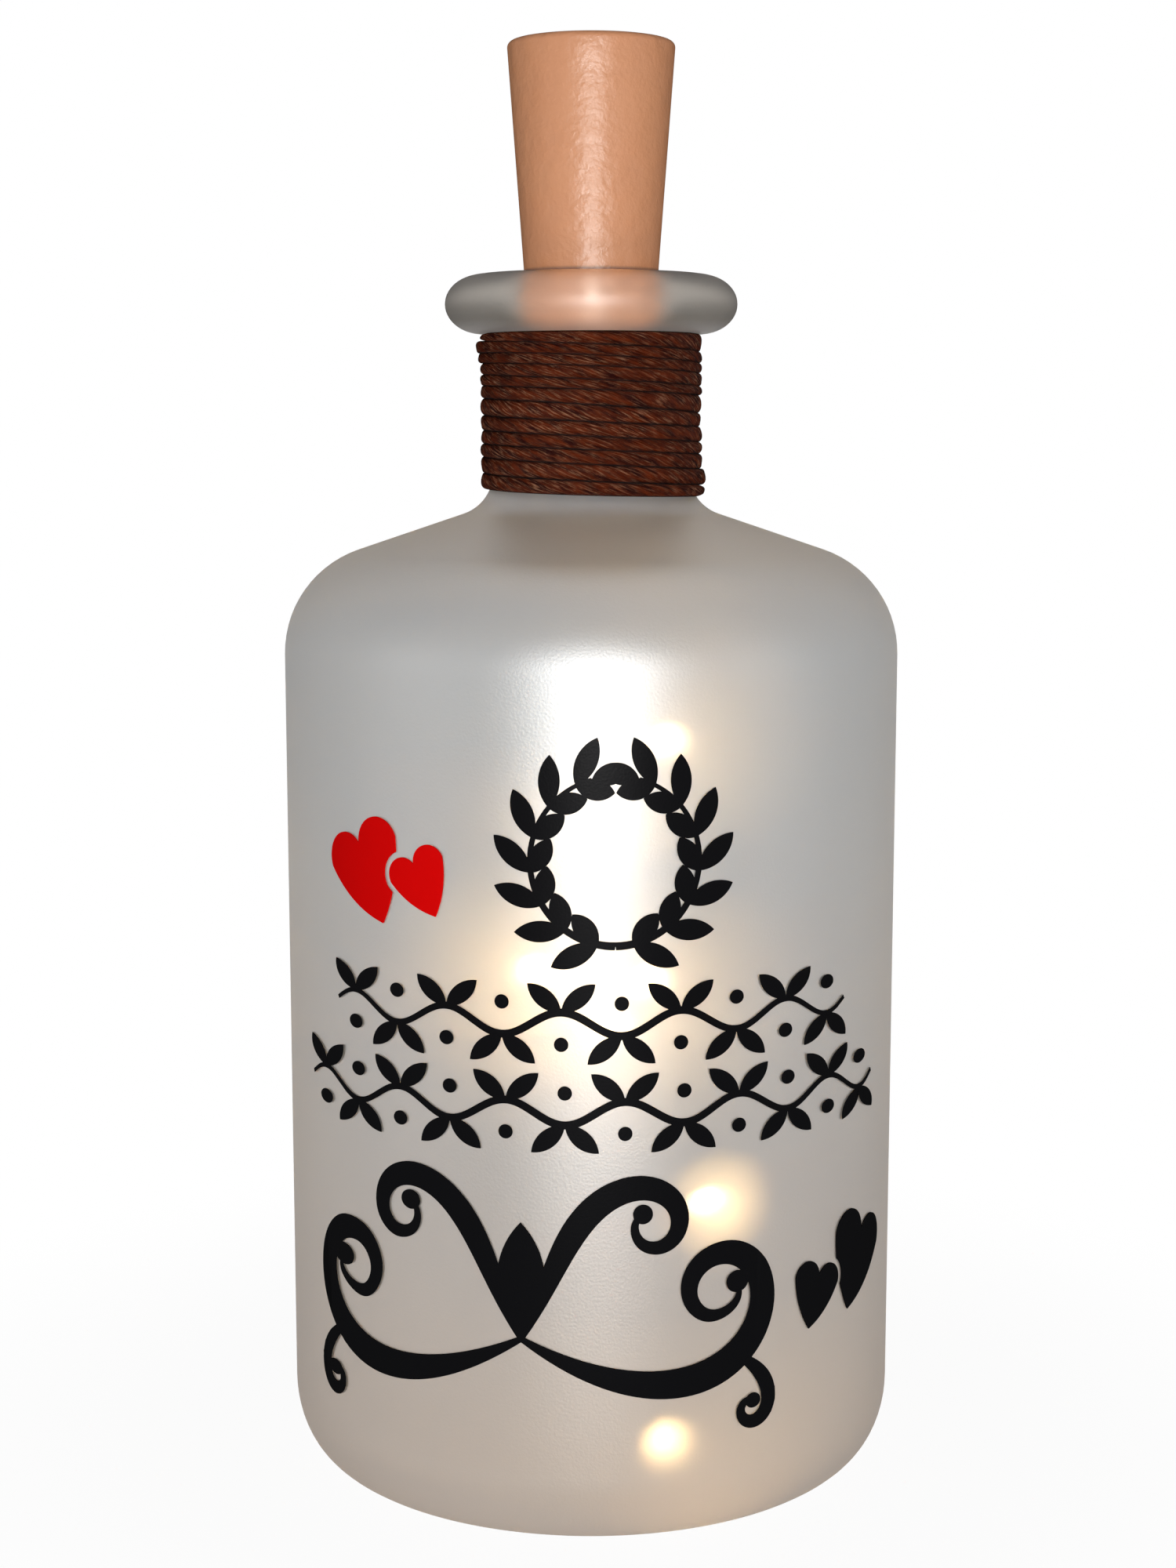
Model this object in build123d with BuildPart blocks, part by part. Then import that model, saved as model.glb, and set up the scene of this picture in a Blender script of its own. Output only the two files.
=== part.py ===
"""A cork bottle light: a frosted bottle with a battery cork and a lamp string hanging inside.

Millimetres, +Z up, origin at the middle of the bottle's resting ring, decorated side towards -Y.
"""
import os
from math import cos, pi, radians, sin, sqrt, tan

from build123d import *

os.makedirs("parts", exist_ok=True)

# Bottle: half-litre apothecary shape with a rolled rim
body_radius = 42.0
wall = 2.8
heel_width = 6.1
heel_height = 10.0
foot_ring_width = 3.5
punt_height = 3.0
floor_height = 5.2
floor_rise = 1.8
inner_heel_radius = 7.0
wall_top_height = 112.2
shoulder_radius = 14.7
shoulder_slope = 18.7  # degrees above level
neck_radius = 13.4
neck_root_radius = 6.0
inner_root_radius = 8.0
bore_radius = 9.06
neck_length = 30.7
rim_radius = 19.8
rim_reach = 4.8
rim_half_height = 3.9
rim_tuck_radius = 0.5
lip_edge_radius = 1.3

# Waxed cord wound round the neck
twine_diameter = 1.25
twine_seat = 0.1
twine_pitch = 1.7
twine_root_gap = 1.2
twine_rim_gap = 0.2

# Vinyl film on the bottle's front
film_thickness = 0.15
film_seat = 0.04
heart_gap = 0.8
art_low_margin = 6.0
art_high_margin = 6.2

# Cork-shaped battery case
cork_length = 45.0
cork_top_radius = 11.3
cork_bottom_radius = 8.0
cork_seat_clearance = 0.1
case_wall = 1.5
case_floor = 2.0
case_top_round = 0.8
case_bottom_round = 0.5
cap_recess_radius = 10.0
cap_recess_depth = 2.0
case_rib_thickness = 1.0
case_rib_count = 4

# Button cells and their tube
cell_radius = 5.8
cell_height = 5.4
cell_count = 3
cell_cap_radius = 4.9
cell_cap_height = 1.1
cell_cap_proud = 0.2
cell_ring_width = 0.4
cell_edge_round = 0.3
tube_clearance = 0.15
tube_wall = 1.0
tube_floor = 1.0
tube_top_gap = 0.3
tube_rib_count = 3
tube_rib_thickness = 1.2
tube_rib_length = 6.0

# Contacts
plate_thickness = 0.3
plate_clearance = 0.2
plate_tab_width = 2.0
plate_tab_length = 3.0
plate_tab_offset = 3.2
spring_wire = 0.5
spring_height = 3.7
spring_bottom_radius = 4.3
spring_top_radius = 2.2
spring_turns = 3.0
contact_gap = 0.1
strip_thickness = 0.25
strip_width = 2.5
strip_seat = 0.05
strip_clearance = 0.1

# Cap with its slide switch
cap_clearance = 0.07
cap_thickness = 2.0
cap_skirt_depth = 5.0
cap_skirt_wall = 1.2
cap_skirt_clearance = 0.3
cap_edge_round = 0.3
cap_notch_width = 3.0
cap_notch_depth = 1.0
switch_length = 8.2
switch_width = 4.0
switch_height = 3.3
switch_wall = 0.3
slider_length = 2.2
slider_width = 2.0
slider_travel = 2.0
slider_clearance = 0.15
slider_foot_length = 3.2
slider_foot_width = 2.8
slider_proud = 0.5
slider_groove_width = 0.3
slider_groove_depth = 0.25
slider_groove_count = 3
board_radius = 7.5
board_thickness = 1.0
resistor_length = 2.0
resistor_width = 1.25
resistor_height = 0.5
resistor_offset = 5.6
contact_radius = 3.0

# Wires and lamps
lead_diameter = 0.5
lead_spacing = 0.56
lead_rise = 5.0
lead_end_gap = 0.3
grommet_radius = 1.6
grommet_flange_radius = 2.6
grommet_flange_height = 0.8
grommet_bore_radius = 0.65
grommet_seat = 0.02
string_diameter = 0.6
lamp_spacing = 100.0
lamp_count = 10
lamp_length = 5.5
lamp_diameter = 3.0
chip_length = 1.6
chip_width = 0.8
chip_height = 0.7

# Route of the lamp string below the cork, down to its last lamp, chosen by hand: degrees from the
# front towards +X, distance from the axis, height
string_route = [
    (148.0, 0.9, 139.5), (130.0, 3.1, 127.5), (143.5, 5.7, 113.2),
    (124.0, 20.0, 106.0), (78.0, 31.0, 107.5), (28.0, 33.0, 107.0), (-26.0, 32.0, 101.0),
    (-82.0, 31.0, 94.0), (-140.0, 32.0, 88.0), (-198.0, 33.0, 82.0), (-258.0, 33.0, 77.5),
    (-315.0, 32.5, 77.2), (-368.0, 36.5, 73.2), (-420.0, 38.5, 76.5), (-473.0, 38.5, 80.5),
    (-527.0, 38.0, 81.0), (-580.0, 38.0, 79.0), (-634.0, 38.0, 77.0), (-688.0, 37.5, 74.5),
    (-745.0, 36.0, 70.0), (-802.0, 35.0, 65.0), (-860.0, 34.5, 63.5), (-918.0, 34.5, 66.0),
    (-976.0, 34.5, 69.5), (-1032.0, 35.0, 70.0), (-1088.0, 35.5, 66.0), (-1142.0, 37.0, 61.0),
    (-1196.0, 38.0, 57.0), (-1250.0, 38.0, 53.5), (-1304.0, 38.0, 52.0), (-1356.0, 37.5, 49.5),
    (-1404.0, 37.0, 45.0), (-1451.0, 32.5, 37.5), (-1488.5, 24.0, 28.0), (-1523.0, 8.1, 19.0),
    (-1744.0, 10.8, 12.5), (-1768.0, 24.7, 9.0), (-1787.5, 30.2, 8.0),
]

# Shares and counts
half_share = 0.5
arcs_per_turn = 8
outline_steps = 10
bend_share = 0.45
overrun = 1.0

# Places worked out from the sizes above
slope = radians(shoulder_slope)
inner_radius = body_radius - wall
ring_outer = body_radius - heel_width
ring_inner = ring_outer - foot_ring_width
shoulder_corner = wall_top_height + shoulder_radius * tan((pi / 2 - slope) / 2)
slope_wall = wall / cos(slope)


def slope_height(radius):
    """Height of the straight part of the shoulder, outside, at a distance from the axis."""
    return shoulder_corner + (body_radius - radius) * tan(slope)


def case_radius(height):
    """Outside radius of the cork-shaped case at a height."""
    return cork_bottom_radius + (height - cork_bottom) * cork_taper


neck_base = slope_height(neck_radius)
mouth_height = neck_base + neck_length
rim_centre_radius = rim_radius - rim_reach
rim_centre_height = mouth_height - rim_half_height
rim_bottom = rim_centre_height - rim_half_height
bore_seat_height = mouth_height - lip_edge_radius

cork_taper = (cork_top_radius - cork_bottom_radius) / cork_length
cork_insertion = (bore_radius - cork_seat_clearance - cork_bottom_radius) / cork_taper
cork_bottom = bore_seat_height - cork_insertion
cork_top = cork_bottom + cork_length


def around(degrees, radius, height):
    """Point at an angle from the front towards +X."""
    angle = radians(degrees)
    return Vector(radius * sin(angle), -radius * cos(angle), height)


# Bottle
with BuildPart() as bottle_glass:
    with BuildSketch(Plane.XZ):
        with BuildLine():
            punt = TangentArc((0, punt_height), (ring_inner, 0), tangent=(1, 0))
            Line(punt @ 1, (ring_outer, 0))
            heel = EllipticalCenterArc(
                (ring_outer, heel_height), heel_width, heel_height, start_angle=-90, arc_size=90
            )
            outside = FilletPolyline(
                heel @ 1,
                (body_radius, shoulder_corner),
                (neck_radius, slope_height(neck_radius)),
                (neck_radius, rim_bottom),
                (rim_centre_radius, rim_bottom),
                radius=[shoulder_radius, neck_root_radius, rim_tuck_radius],
            )
            rim = EllipticalCenterArc(
                (rim_centre_radius, rim_centre_height),
                rim_reach,
                rim_half_height,
                start_angle=-90,
                arc_size=180,
            )
            Line(rim @ 1, (bore_radius + lip_edge_radius, mouth_height))
            lip = TangentArc(
                (bore_radius + lip_edge_radius, mouth_height),
                (bore_radius, bore_seat_height),
                tangent=(-1, 0),
            )
            inside = FilletPolyline(
                lip @ 1,
                (bore_radius, slope_height(bore_radius) - slope_wall),
                (inner_radius, slope_height(inner_radius) - slope_wall),
                (inner_radius, floor_height),
                (inner_radius - inner_heel_radius - wall, floor_height),
                radius=[inner_root_radius, shoulder_radius - wall, inner_heel_radius],
            )
            floor = TangentArc((0, floor_height + floor_rise), inside @ 1, tangent=(1, 0))
            Line(floor @ 0, punt @ 0)
        make_face()
    revolve(axis=Axis.Z)
bottle_glass.part.label = "bottle_glass"
export_step(bottle_glass.part, "parts/bottle_glass.step")


def neck_surface(height):
    """Outside radius of the neck, which flares into the shoulder at its root."""
    centre_radius = neck_radius + neck_root_radius
    centre_height = slope_height(centre_radius) + neck_root_radius / cos(slope)
    drop = max(centre_height - height, 0)
    return centre_radius - sqrt(neck_root_radius**2 - drop**2)


def wound_path(turns, low, high, radius_at, straight):
    """Points of a rising coil that starts at +X and comes to the front first, and its straight start."""
    count = int(turns * arcs_per_turn)
    points = []
    for step in range(count + 1):
        height = low + (high - low) * step / count
        angle = 2 * pi * step / arcs_per_turn
        radius = radius_at(height)
        points.append(Vector(radius * cos(angle), -radius * sin(angle), height))
    rise = (high - low) / count
    first = Vector(0, -2 * pi * radius_at(low) / arcs_per_turn, rise).normalized()
    return points, points[0] - first * straight, first


def wind(points, start, direction, straight):
    """Draws the coil as arcs that follow on from each other, inside a BuildLine."""
    Line(start, points[0])
    for here, there in zip(points, points[1:]):
        arc = TangentArc(here, there, tangent=direction)
        direction = arc % 1
    Line(points[-1], points[-1] + direction * straight)


def least_gap(edges, diameter, samples):
    """Least distance between turns, surface to surface, on points along the wire."""
    marks = [edge @ (k / samples) for edge in edges for k in range(samples)]
    skip = int(arcs_per_turn * samples / 2)
    return min(
        (a - b).length for i, a in enumerate(marks) for b in marks[i + skip:]
    ) - diameter


# Waxed cord on the neck
def twine_radius(height):
    """Distance of the cord's middle from the axis."""
    return neck_surface(height) + twine_seat + twine_diameter / 2


twine_low = neck_base + twine_root_gap + twine_diameter / 2
twine_high = rim_bottom - twine_rim_gap - twine_diameter / 2
twine_half_turns = round(2 * (twine_high - twine_low) / twine_pitch)
twine_points, twine_start, twine_direction = wound_path(
    twine_half_turns / 2,
    twine_low,
    twine_high,
    twine_radius,
    twine_diameter,
)
with BuildPart() as neck_twine:
    with BuildLine() as twine_line:
        wind(twine_points, twine_start, twine_direction, twine_diameter)
    with BuildSketch(Plane(origin=twine_start, z_dir=twine_direction)):
        Circle(twine_diameter / 2)
    sweep()
neck_twine.part.label = "neck_twine"
export_step(neck_twine.part, "parts/neck_twine.step")
gap_samples = 4
print("neck_twine least gap", round(least_gap(twine_line.edges(), twine_diameter, gap_samples), 3))
print("neck_twine volume", round(neck_twine.part.volume, 1), "section times length",
      round(pi * twine_diameter**2 / 4 * twine_line.wire().length, 1))


# Vinyl film: every place and size of the decoration is a share of its height
art_bottom = heel_height + art_low_margin
art_height = wall_top_height - art_high_margin - art_bottom
film_inner = body_radius + film_seat
film_outer = film_inner + film_thickness
with BuildPart() as film_shell:
    with BuildSketch(Plane.XY.offset(heel_height)):
        Circle(film_outer)
        Circle(film_inner, mode=Mode.SUBTRACT)
    extrude(amount=wall_top_height - heel_height)


def wrapped(across_share, height_share):
    """Front-view place of a point that lies so far round the bottle from its middle."""
    across = across_share * art_height
    return (body_radius * sin(across / body_radius), art_bottom + height_share * art_height)


def turned(point, degrees, size, shape):
    """Place of a unit shape's point once it is scaled, turned and set down."""
    c, s = cos(radians(degrees)), sin(radians(degrees))
    x, y = shape[0] * size, shape[1] * size
    return (point[0] + x * c - y * s, point[1] + x * s + y * c)


def film_piece(name, face, draw):
    """Extrudes what a function draws on a face, cuts it to the film's own curve and writes it."""
    with BuildPart() as film:
        with BuildSketch(face):
            draw()
        extrude(amount=-body_radius)
        add(film_shell.part, mode=Mode.INTERSECT)
    film.part.label = name
    export_step(film.part, f"parts/{name}.step")


# Hearts: two pairs, each with a small heart set into the side of a large one
heart_outline_shares = [(0.0, 0.56), (0.5, 0.92), (1.0, 0.38), (0.64, -0.38), (0.0, -1.08)]
heart_width_shares = {"large": 0.073, "small": 0.049}
heart_place_shares = {
    "red": {"large": (-0.349, 0.788), "small": (-0.249, 0.782)},
    "black": {"large": (0.467, 0.191), "small": (0.360, 0.163)},
}
heart_degrees = {"red": {"large": 24, "small": 27}, "black": {"large": -20, "small": -16}}


def heart(middle, half_width, tilt):
    """Draws a heart inside a BuildSketch: two round lobes and two bowed sides down to a tip."""
    with BuildLine() as outline:
        for side in (-1, 1):
            notch, lobe, edge, bow, tip = (
                turned(middle, tilt, half_width, (side * x, y)) for x, y in heart_outline_shares
            )
            ThreePointArc(notch, lobe, edge)
            ThreePointArc(edge, bow, tip)
    make_face(outline.edges())


for colour, places in heart_place_shares.items():
    across, height = (
        (a - b) * art_height for a, b in zip(places["small"], places["large"])
    )
    small_width = heart_width_shares["small"] * art_height
    with BuildSketch() as bite:
        heart((across, height), small_width, heart_degrees[colour]["small"])
        offset(amount=heart_gap)
    for size, (across_share, height_share) in places.items():

        def draw_heart():
            """The heart, less the room that a large one leaves for its small neighbour."""
            heart((0, 0), heart_width_shares[size] * art_height, heart_degrees[colour][size])
            if size == "large":
                add(bite.sketch, mode=Mode.SUBTRACT)

        degrees = across_share * art_height / body_radius * 180 / pi
        face = Plane(
            origin=around(degrees, film_outer + overrun, art_bottom + height_share * art_height),
            x_dir=around(degrees + 90, 1, 0),
            z_dir=around(degrees, 1, 0),
        )
        film_piece(f"heart_{colour}_{size}", face, draw_heart)


# Leaf wreath, two vines and a scroll
front_face = Plane.XZ.offset(body_radius + overrun)
wreath_middle_share = (0.033, 0.822)
wreath_radius_share = 0.118
wreath_gap_degrees = 16
wreath_pair_count = 7
wreath_stem_share = 0.0056
wreath_outer_leaf_share = (0.073, 0.030)  # length and width
wreath_inner_leaf_share = (0.055, 0.030)
wreath_leaf_degrees = 38

vine_span_shares = {"upper": (-0.42, 0.42), "lower": (-0.50, 0.51)}
vine_height_shares = {"upper": 0.594, "lower": 0.467}
vine_wave_counts = {"upper": 5, "lower": 6}
vine_wave_share = 0.0167
vine_stem_share = 0.0056
vine_leaf_share = (0.062, 0.0256)
vine_leaf_degrees = 40
vine_dot_share = 0.010
vine_dot_drop_share = 0.029

scroll_middle_share = (-0.100, 0.138)
scroll_thin_share = 0.004
# Each curl: where on the first one it starts, heading, turn and last tightening in degrees, length,
# half width, eye radius
scroll_first_shares = (0.0, -30, 60, 440, 0.74, 0.023, 0.016)
scroll_inner_shares = (0.0, 62, 40, -430, 0.50, 0.019, 0.014)
scroll_outer_shares = (0.45, -30, -60, -300, 0.20, 0.0125, 0.011)
scroll_swell_share = 0.42
scroll_bud_share = (0.17, 0.07)  # length and width


def leaf(base, degrees, length, width):
    """Draws a leaf inside a BuildSketch: two arcs from its base to its tip."""
    side = width / length / 2
    start, one_side, tip, other_side = (
        wrapped(*turned(base, degrees, length, shape))
        for shape in ((0, 0), (half_share, side), (1, 0), (half_share, -side))
    )
    with BuildLine() as outline:
        ThreePointArc(start, one_side, tip)
        ThreePointArc(tip, other_side, start)
    make_face(outline.edges())


def dot(place, radius_share):
    """Draws a round dot inside a BuildSketch."""
    with Locations(wrapped(*place)):
        Circle(radius_share * art_height)


def stroke(centres, half_widths):
    """Draws a tapered stroke inside a BuildSketch, between two curves beside its middle line."""
    left, right = [], []
    for k, (across, height) in enumerate(centres):
        before, after = centres[max(k - 1, 0)], centres[min(k + 1, len(centres) - 1)]
        run, rise = after[0] - before[0], after[1] - before[1]
        length = sqrt(run**2 + rise**2)
        aside, up = -rise / length * half_widths[k], run / length * half_widths[k]
        left.append(wrapped(across + aside, height + up))
        right.append(wrapped(across - aside, height - up))
    with BuildLine() as outline:
        Spline(*left)
        Line(left[-1], right[-1])
        Spline(*right[::-1])
        Line(right[0], left[0])
    make_face(outline.edges())


def draw_wreath():
    """Two stems that rise from the bottom, each with leaves on both sides."""
    span = 180 - wreath_gap_degrees

    def on_ring(side, angle):
        """Place on one of the two stems, by its angle from the bottom."""
        return (
            wreath_middle_share[0] + side * wreath_radius_share * sin(radians(angle)),
            wreath_middle_share[1] - wreath_radius_share * cos(radians(angle)),
        )

    for side in (-1, 1):
        line = [on_ring(side, span * k / outline_steps) for k in range(outline_steps + 1)]
        stroke(line, [wreath_stem_share * (1 - k / outline_steps / 2) for k in range(outline_steps + 1)])
        for pair in range(wreath_pair_count):
            angle = span * (pair + half_share) / wreath_pair_count
            along = angle if side > 0 else 180 - angle
            leaf(on_ring(side, angle), along - side * wreath_leaf_degrees, *wreath_outer_leaf_share)
            leaf(on_ring(side, angle), along + side * wreath_leaf_degrees, *wreath_inner_leaf_share)
        leaf(line[-1], span if side > 0 else 180 - span, *wreath_inner_leaf_share)


film_piece("wreath_film", front_face, draw_wreath)


for row, (low, high) in vine_span_shares.items():

    def draw_vine():
        """A waved stem with a pair of leaves at each crest and a dot in each hollow."""
        waves, middle = vine_wave_counts[row], vine_height_shares[row]
        span = (high - low) / waves
        steps = waves * outline_steps
        line = [
            (low + span * k / outline_steps, middle + vine_wave_share * sin(2 * pi * k / outline_steps))
            for k in range(steps + 1)
        ]
        stroke(line, [vine_stem_share * (1 + sin(pi * k / steps)) / 2 for k in range(steps + 1)])
        for crest in range(2 * waves):
            across = low + span * (crest + half_share) / 2
            up = 1 if crest % 2 == 0 else -1
            base = (across, middle + up * vine_wave_share)
            leaf(base, up * vine_leaf_degrees, *vine_leaf_share)
            leaf(base, 180 - up * vine_leaf_degrees, *vine_leaf_share)
            dot((across, middle - up * vine_dot_drop_share), vine_dot_share)

    film_piece(f"vine_film_{row}", front_face, draw_vine)


def curl_line(start, curl_shares):
    """Middle line of a curl whose turning grows towards its eye."""
    _, heading, turn, tightening, length, _, _ = curl_shares
    across, height = start
    line = [start]
    for k in range(2 * outline_steps):
        share = (k + half_share) / (2 * outline_steps)
        angle = radians(heading + turn * share + tightening * share**3)
        across += length * cos(angle) / (2 * outline_steps)
        height += length * sin(angle) / (2 * outline_steps)
        line.append((across, height))
    return line


def draw_curl(line, half_width, eye):
    """A curl and its mirror image, thick below its swell and thin at both ends, with a round eye."""
    last = len(line) - 1
    widths = []
    for k in range(last + 1):
        share = k / last
        rise = share / scroll_swell_share if share < scroll_swell_share else (1 - share) / (1 - scroll_swell_share)
        widths.append(scroll_thin_share + (half_width - scroll_thin_share) * sin(pi / 2 * rise))
    for side in (-1, 1):
        mirrored = [
            (scroll_middle_share[0] + side * (across - scroll_middle_share[0]), height)
            for across, height in line
        ]
        stroke(mirrored, widths)
        dot(mirrored[-1], eye)


def draw_scroll():
    """A mirrored pair of three curls, with a bud between them."""
    first = curl_line(scroll_middle_share, scroll_first_shares)
    draw_curl(first, *scroll_first_shares[-2:])
    for shares in (scroll_inner_shares, scroll_outer_shares):
        start = first[round(shares[0] * (len(first) - 1))]
        draw_curl(curl_line(start, shares), *shares[-2:])
    leaf(scroll_middle_share, 90, *scroll_bud_share)


film_piece("scroll_film", front_face, draw_scroll)


# Cork-shaped case: a tapered shell with ribs inside for the battery tube
cap_bottom = cork_top - cap_thickness
skirt_bottom = cap_bottom - cap_skirt_depth
switch_bottom = cap_bottom - switch_height
board_bottom = switch_bottom - board_thickness
contact_bottom = board_bottom - plate_thickness
stack_top = contact_bottom - contact_gap
stack_bottom = stack_top - cell_count * cell_height
plate_top = stack_bottom - spring_height
tube_bottom = plate_top - plate_thickness - tube_floor
tube_top = stack_top - tube_top_gap
tube_inner = cell_radius + tube_clearance
tube_outer = tube_inner + tube_wall
case_floor_top = cork_bottom + case_floor
cap_ledge = cork_top - cap_recess_depth
strip_low = tube_bottom + tube_floor - plate_tab_length
strip_high = board_bottom - contact_gap
strip_inner = tube_outer + strip_seat


def case_inner(height):
    """Inside radius of the case at a height, below the cap's recess."""
    return case_radius(height) - case_wall


with BuildPart() as cork_case:
    with BuildSketch(Plane.XZ):
        Polygon(
            (0, cork_bottom),
            (cork_bottom_radius, cork_bottom),
            (cork_top_radius, cork_top),
            (0, cork_top),
            align=None,
        )
    revolve(axis=Axis.Z)
    rims = edges().filter_by(GeomType.CIRCLE).sort_by(Axis.Z)
    fillet(rims[-1], case_top_round)
    fillet(edges().filter_by(GeomType.CIRCLE).sort_by(Axis.Z)[0], case_bottom_round)
    with BuildSketch(Plane.XZ):
        Polygon(
            (0, case_floor_top),
            (case_inner(case_floor_top), case_floor_top),
            (case_inner(cap_ledge), cap_ledge),
            (cap_recess_radius, cap_ledge),
            (cap_recess_radius, cork_top + overrun),
            (0, cork_top + overrun),
            align=None,
        )
    revolve(axis=Axis.Z, mode=Mode.SUBTRACT)
    with BuildSketch(Plane.XY.offset(case_floor_top)) as ribs:
        with PolarLocations(0, case_rib_count, start_angle=180 / case_rib_count):
            with Locations(((case_inner(case_floor_top) + tube_inner) / 2, 0)):
                Rectangle(case_radius(case_floor_top) - tube_inner + case_wall, case_rib_thickness)
        Circle(case_inner(case_floor_top) + case_wall / 2, mode=Mode.INTERSECT)
        Circle(tube_inner - tube_wall, mode=Mode.SUBTRACT)
    extrude(amount=tube_bottom - case_floor_top)
    with Locations((0, 0, cork_bottom)):
        Hole(grommet_radius, depth=case_floor * 2)
    # Way for the side strip: only a case that is short for its cells needs a groove in its wall
    with Locations((0, 0, strip_low - strip_clearance)):
        Box(
            strip_inner + strip_thickness + strip_clearance,
            strip_width + 2 * strip_clearance,
            strip_high - strip_low + 2 * strip_clearance,
            align=(Align.MIN, Align.CENTER, Align.MIN),
            mode=Mode.SUBTRACT,
        )
cork_case.part.label = "cork_case"
export_step(cork_case.part, "parts/cork_case.step")

# Battery tube: open at the top, a floor with a hole for the plate's tab, ribs that centre it in the case
tube_rib_top = tube_top - tube_wall
with BuildPart() as battery_tube:
    with BuildSketch(Plane.XY.offset(tube_bottom)):
        Circle(tube_outer)
    extrude(amount=tube_top - tube_bottom)
    with BuildSketch(Plane.XY.offset(tube_bottom + tube_floor)):
        Circle(tube_inner)
    extrude(amount=tube_top - tube_bottom, mode=Mode.SUBTRACT)
    with BuildSketch(Plane.XY.offset(tube_rib_top - tube_rib_length)):
        with PolarLocations(0, tube_rib_count, start_angle=180 / tube_rib_count):
            with Locations((tube_outer, 0)):
                Rectangle(
                    2 * (case_inner(tube_rib_top - tube_rib_length) - cap_skirt_clearance - tube_outer),
                    tube_rib_thickness,
                )
        Circle(tube_inner + tube_wall / 2, mode=Mode.SUBTRACT)
    extrude(amount=tube_rib_length)
    with Locations((-plate_tab_offset, 0, tube_bottom + tube_floor / 2)):
        Box(plate_tab_width, plate_tab_width + plate_clearance, tube_floor * 2, mode=Mode.SUBTRACT)
battery_tube.part.label = "battery_tube"
export_step(battery_tube.part, "parts/battery_tube.step")

# Spring plate with a tab bent down through the tube's floor
with BuildPart() as spring_plate:
    with BuildSketch(Plane.XY.offset(plate_top - plate_thickness)):
        Circle(tube_inner - plate_clearance)
    extrude(amount=plate_thickness)
    with Locations((-plate_tab_offset, 0, plate_top)):
        Box(
            plate_thickness,
            plate_tab_width,
            plate_tab_length + plate_thickness,
            align=(Align.CENTER, Align.CENTER, Align.MAX),
        )
spring_plate.part.label = "spring_plate"
export_step(spring_plate.part, "parts/spring_plate.step")


# Conical contact spring under the lowest cell
spring_low = plate_top + spring_wire / 2
spring_high = stack_bottom - spring_wire / 2


def spring_radius(height):
    """Distance of the wire's middle from the axis: wide at the plate, narrow at the cell."""
    share = (height - spring_low) / (spring_high - spring_low)
    return spring_bottom_radius + (spring_top_radius - spring_bottom_radius) * share


spring_points, spring_start, spring_direction = wound_path(
    spring_turns, spring_low, spring_high, spring_radius, spring_wire
)
with BuildPart() as contact_spring:
    with BuildLine() as spring_line:
        wind(spring_points, spring_start, spring_direction, spring_wire)
    with BuildSketch(Plane(origin=spring_start, z_dir=spring_direction)):
        Circle(spring_wire / 2)
    sweep()
contact_spring.part.label = "contact_spring"
export_step(contact_spring.part, "parts/contact_spring.step")
print("contact_spring least gap", round(least_gap(spring_line.edges(), spring_wire, gap_samples), 3))
print("contact_spring volume", round(contact_spring.part.volume, 3), "section times length",
      round(pi * spring_wire**2 / 4 * spring_line.wire().length, 3))

# Button cells: a steel can, a sealing ring and a cap that stands a little below the can
cell_recess = cell_cap_height - cell_cap_proud
for number in range(cell_count):
    base = stack_bottom + number * cell_height
    with BuildPart() as cell_can:
        with BuildSketch(Plane.XY.offset(base + cell_cap_proud)):
            Circle(cell_radius)
        extrude(amount=cell_height - cell_cap_proud)
        fillet(edges().filter_by(GeomType.CIRCLE).sort_by(Axis.Z)[-1], cell_edge_round)
        with BuildSketch(Plane.XY.offset(base + cell_cap_proud)):
            Circle(cell_cap_radius + cell_ring_width)
        extrude(amount=cell_recess, mode=Mode.SUBTRACT)
    cell_can.part.label = f"cell_{number + 1}"
    export_step(cell_can.part, f"parts/cell_{number + 1}.step")

cell_places = [(0, 0, stack_bottom + number * cell_height) for number in range(cell_count)]
with BuildPart() as cell_rings:
    with Locations(*cell_places):
        with Locations((0, 0, cell_cap_proud)):
            Cylinder(
                cell_cap_radius + cell_ring_width,
                cell_recess,
                align=(Align.CENTER, Align.CENTER, Align.MIN),
            )
        Cylinder(
            cell_cap_radius, cell_cap_height, align=(Align.CENTER, Align.CENTER, Align.MIN), mode=Mode.SUBTRACT
        )
cell_rings.part.label = "cell_rings"
export_step(cell_rings.part, "parts/cell_rings.step")

with BuildPart() as cell_caps:
    with Locations(*cell_places):
        Cylinder(cell_cap_radius, cell_cap_height, align=(Align.CENTER, Align.CENTER, Align.MIN))
cell_caps.part.label = "cell_caps"
export_step(cell_caps.part, "parts/cell_caps.step")

# Side strip: carries the other pole up the outside of the tube and over its rim
with BuildPart() as side_strip:
    with BuildSketch(Plane.XZ):
        Polygon(
            (strip_inner, strip_low),
            (strip_inner + strip_thickness, strip_low),
            (strip_inner + strip_thickness, strip_high),
            (tube_inner, strip_high),
            (tube_inner, strip_high - strip_thickness),
            (strip_inner, strip_high - strip_thickness),
            align=None,
        )
    extrude(amount=strip_width / 2, both=True)
    bends = edges().filter_by(Axis.Y).group_by(Axis.X)[-1].sort_by(Axis.Z)
    fillet(bends[-1], strip_thickness)
side_strip.part.label = "side_strip"
export_step(side_strip.part, "parts/side_strip.step")

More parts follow.
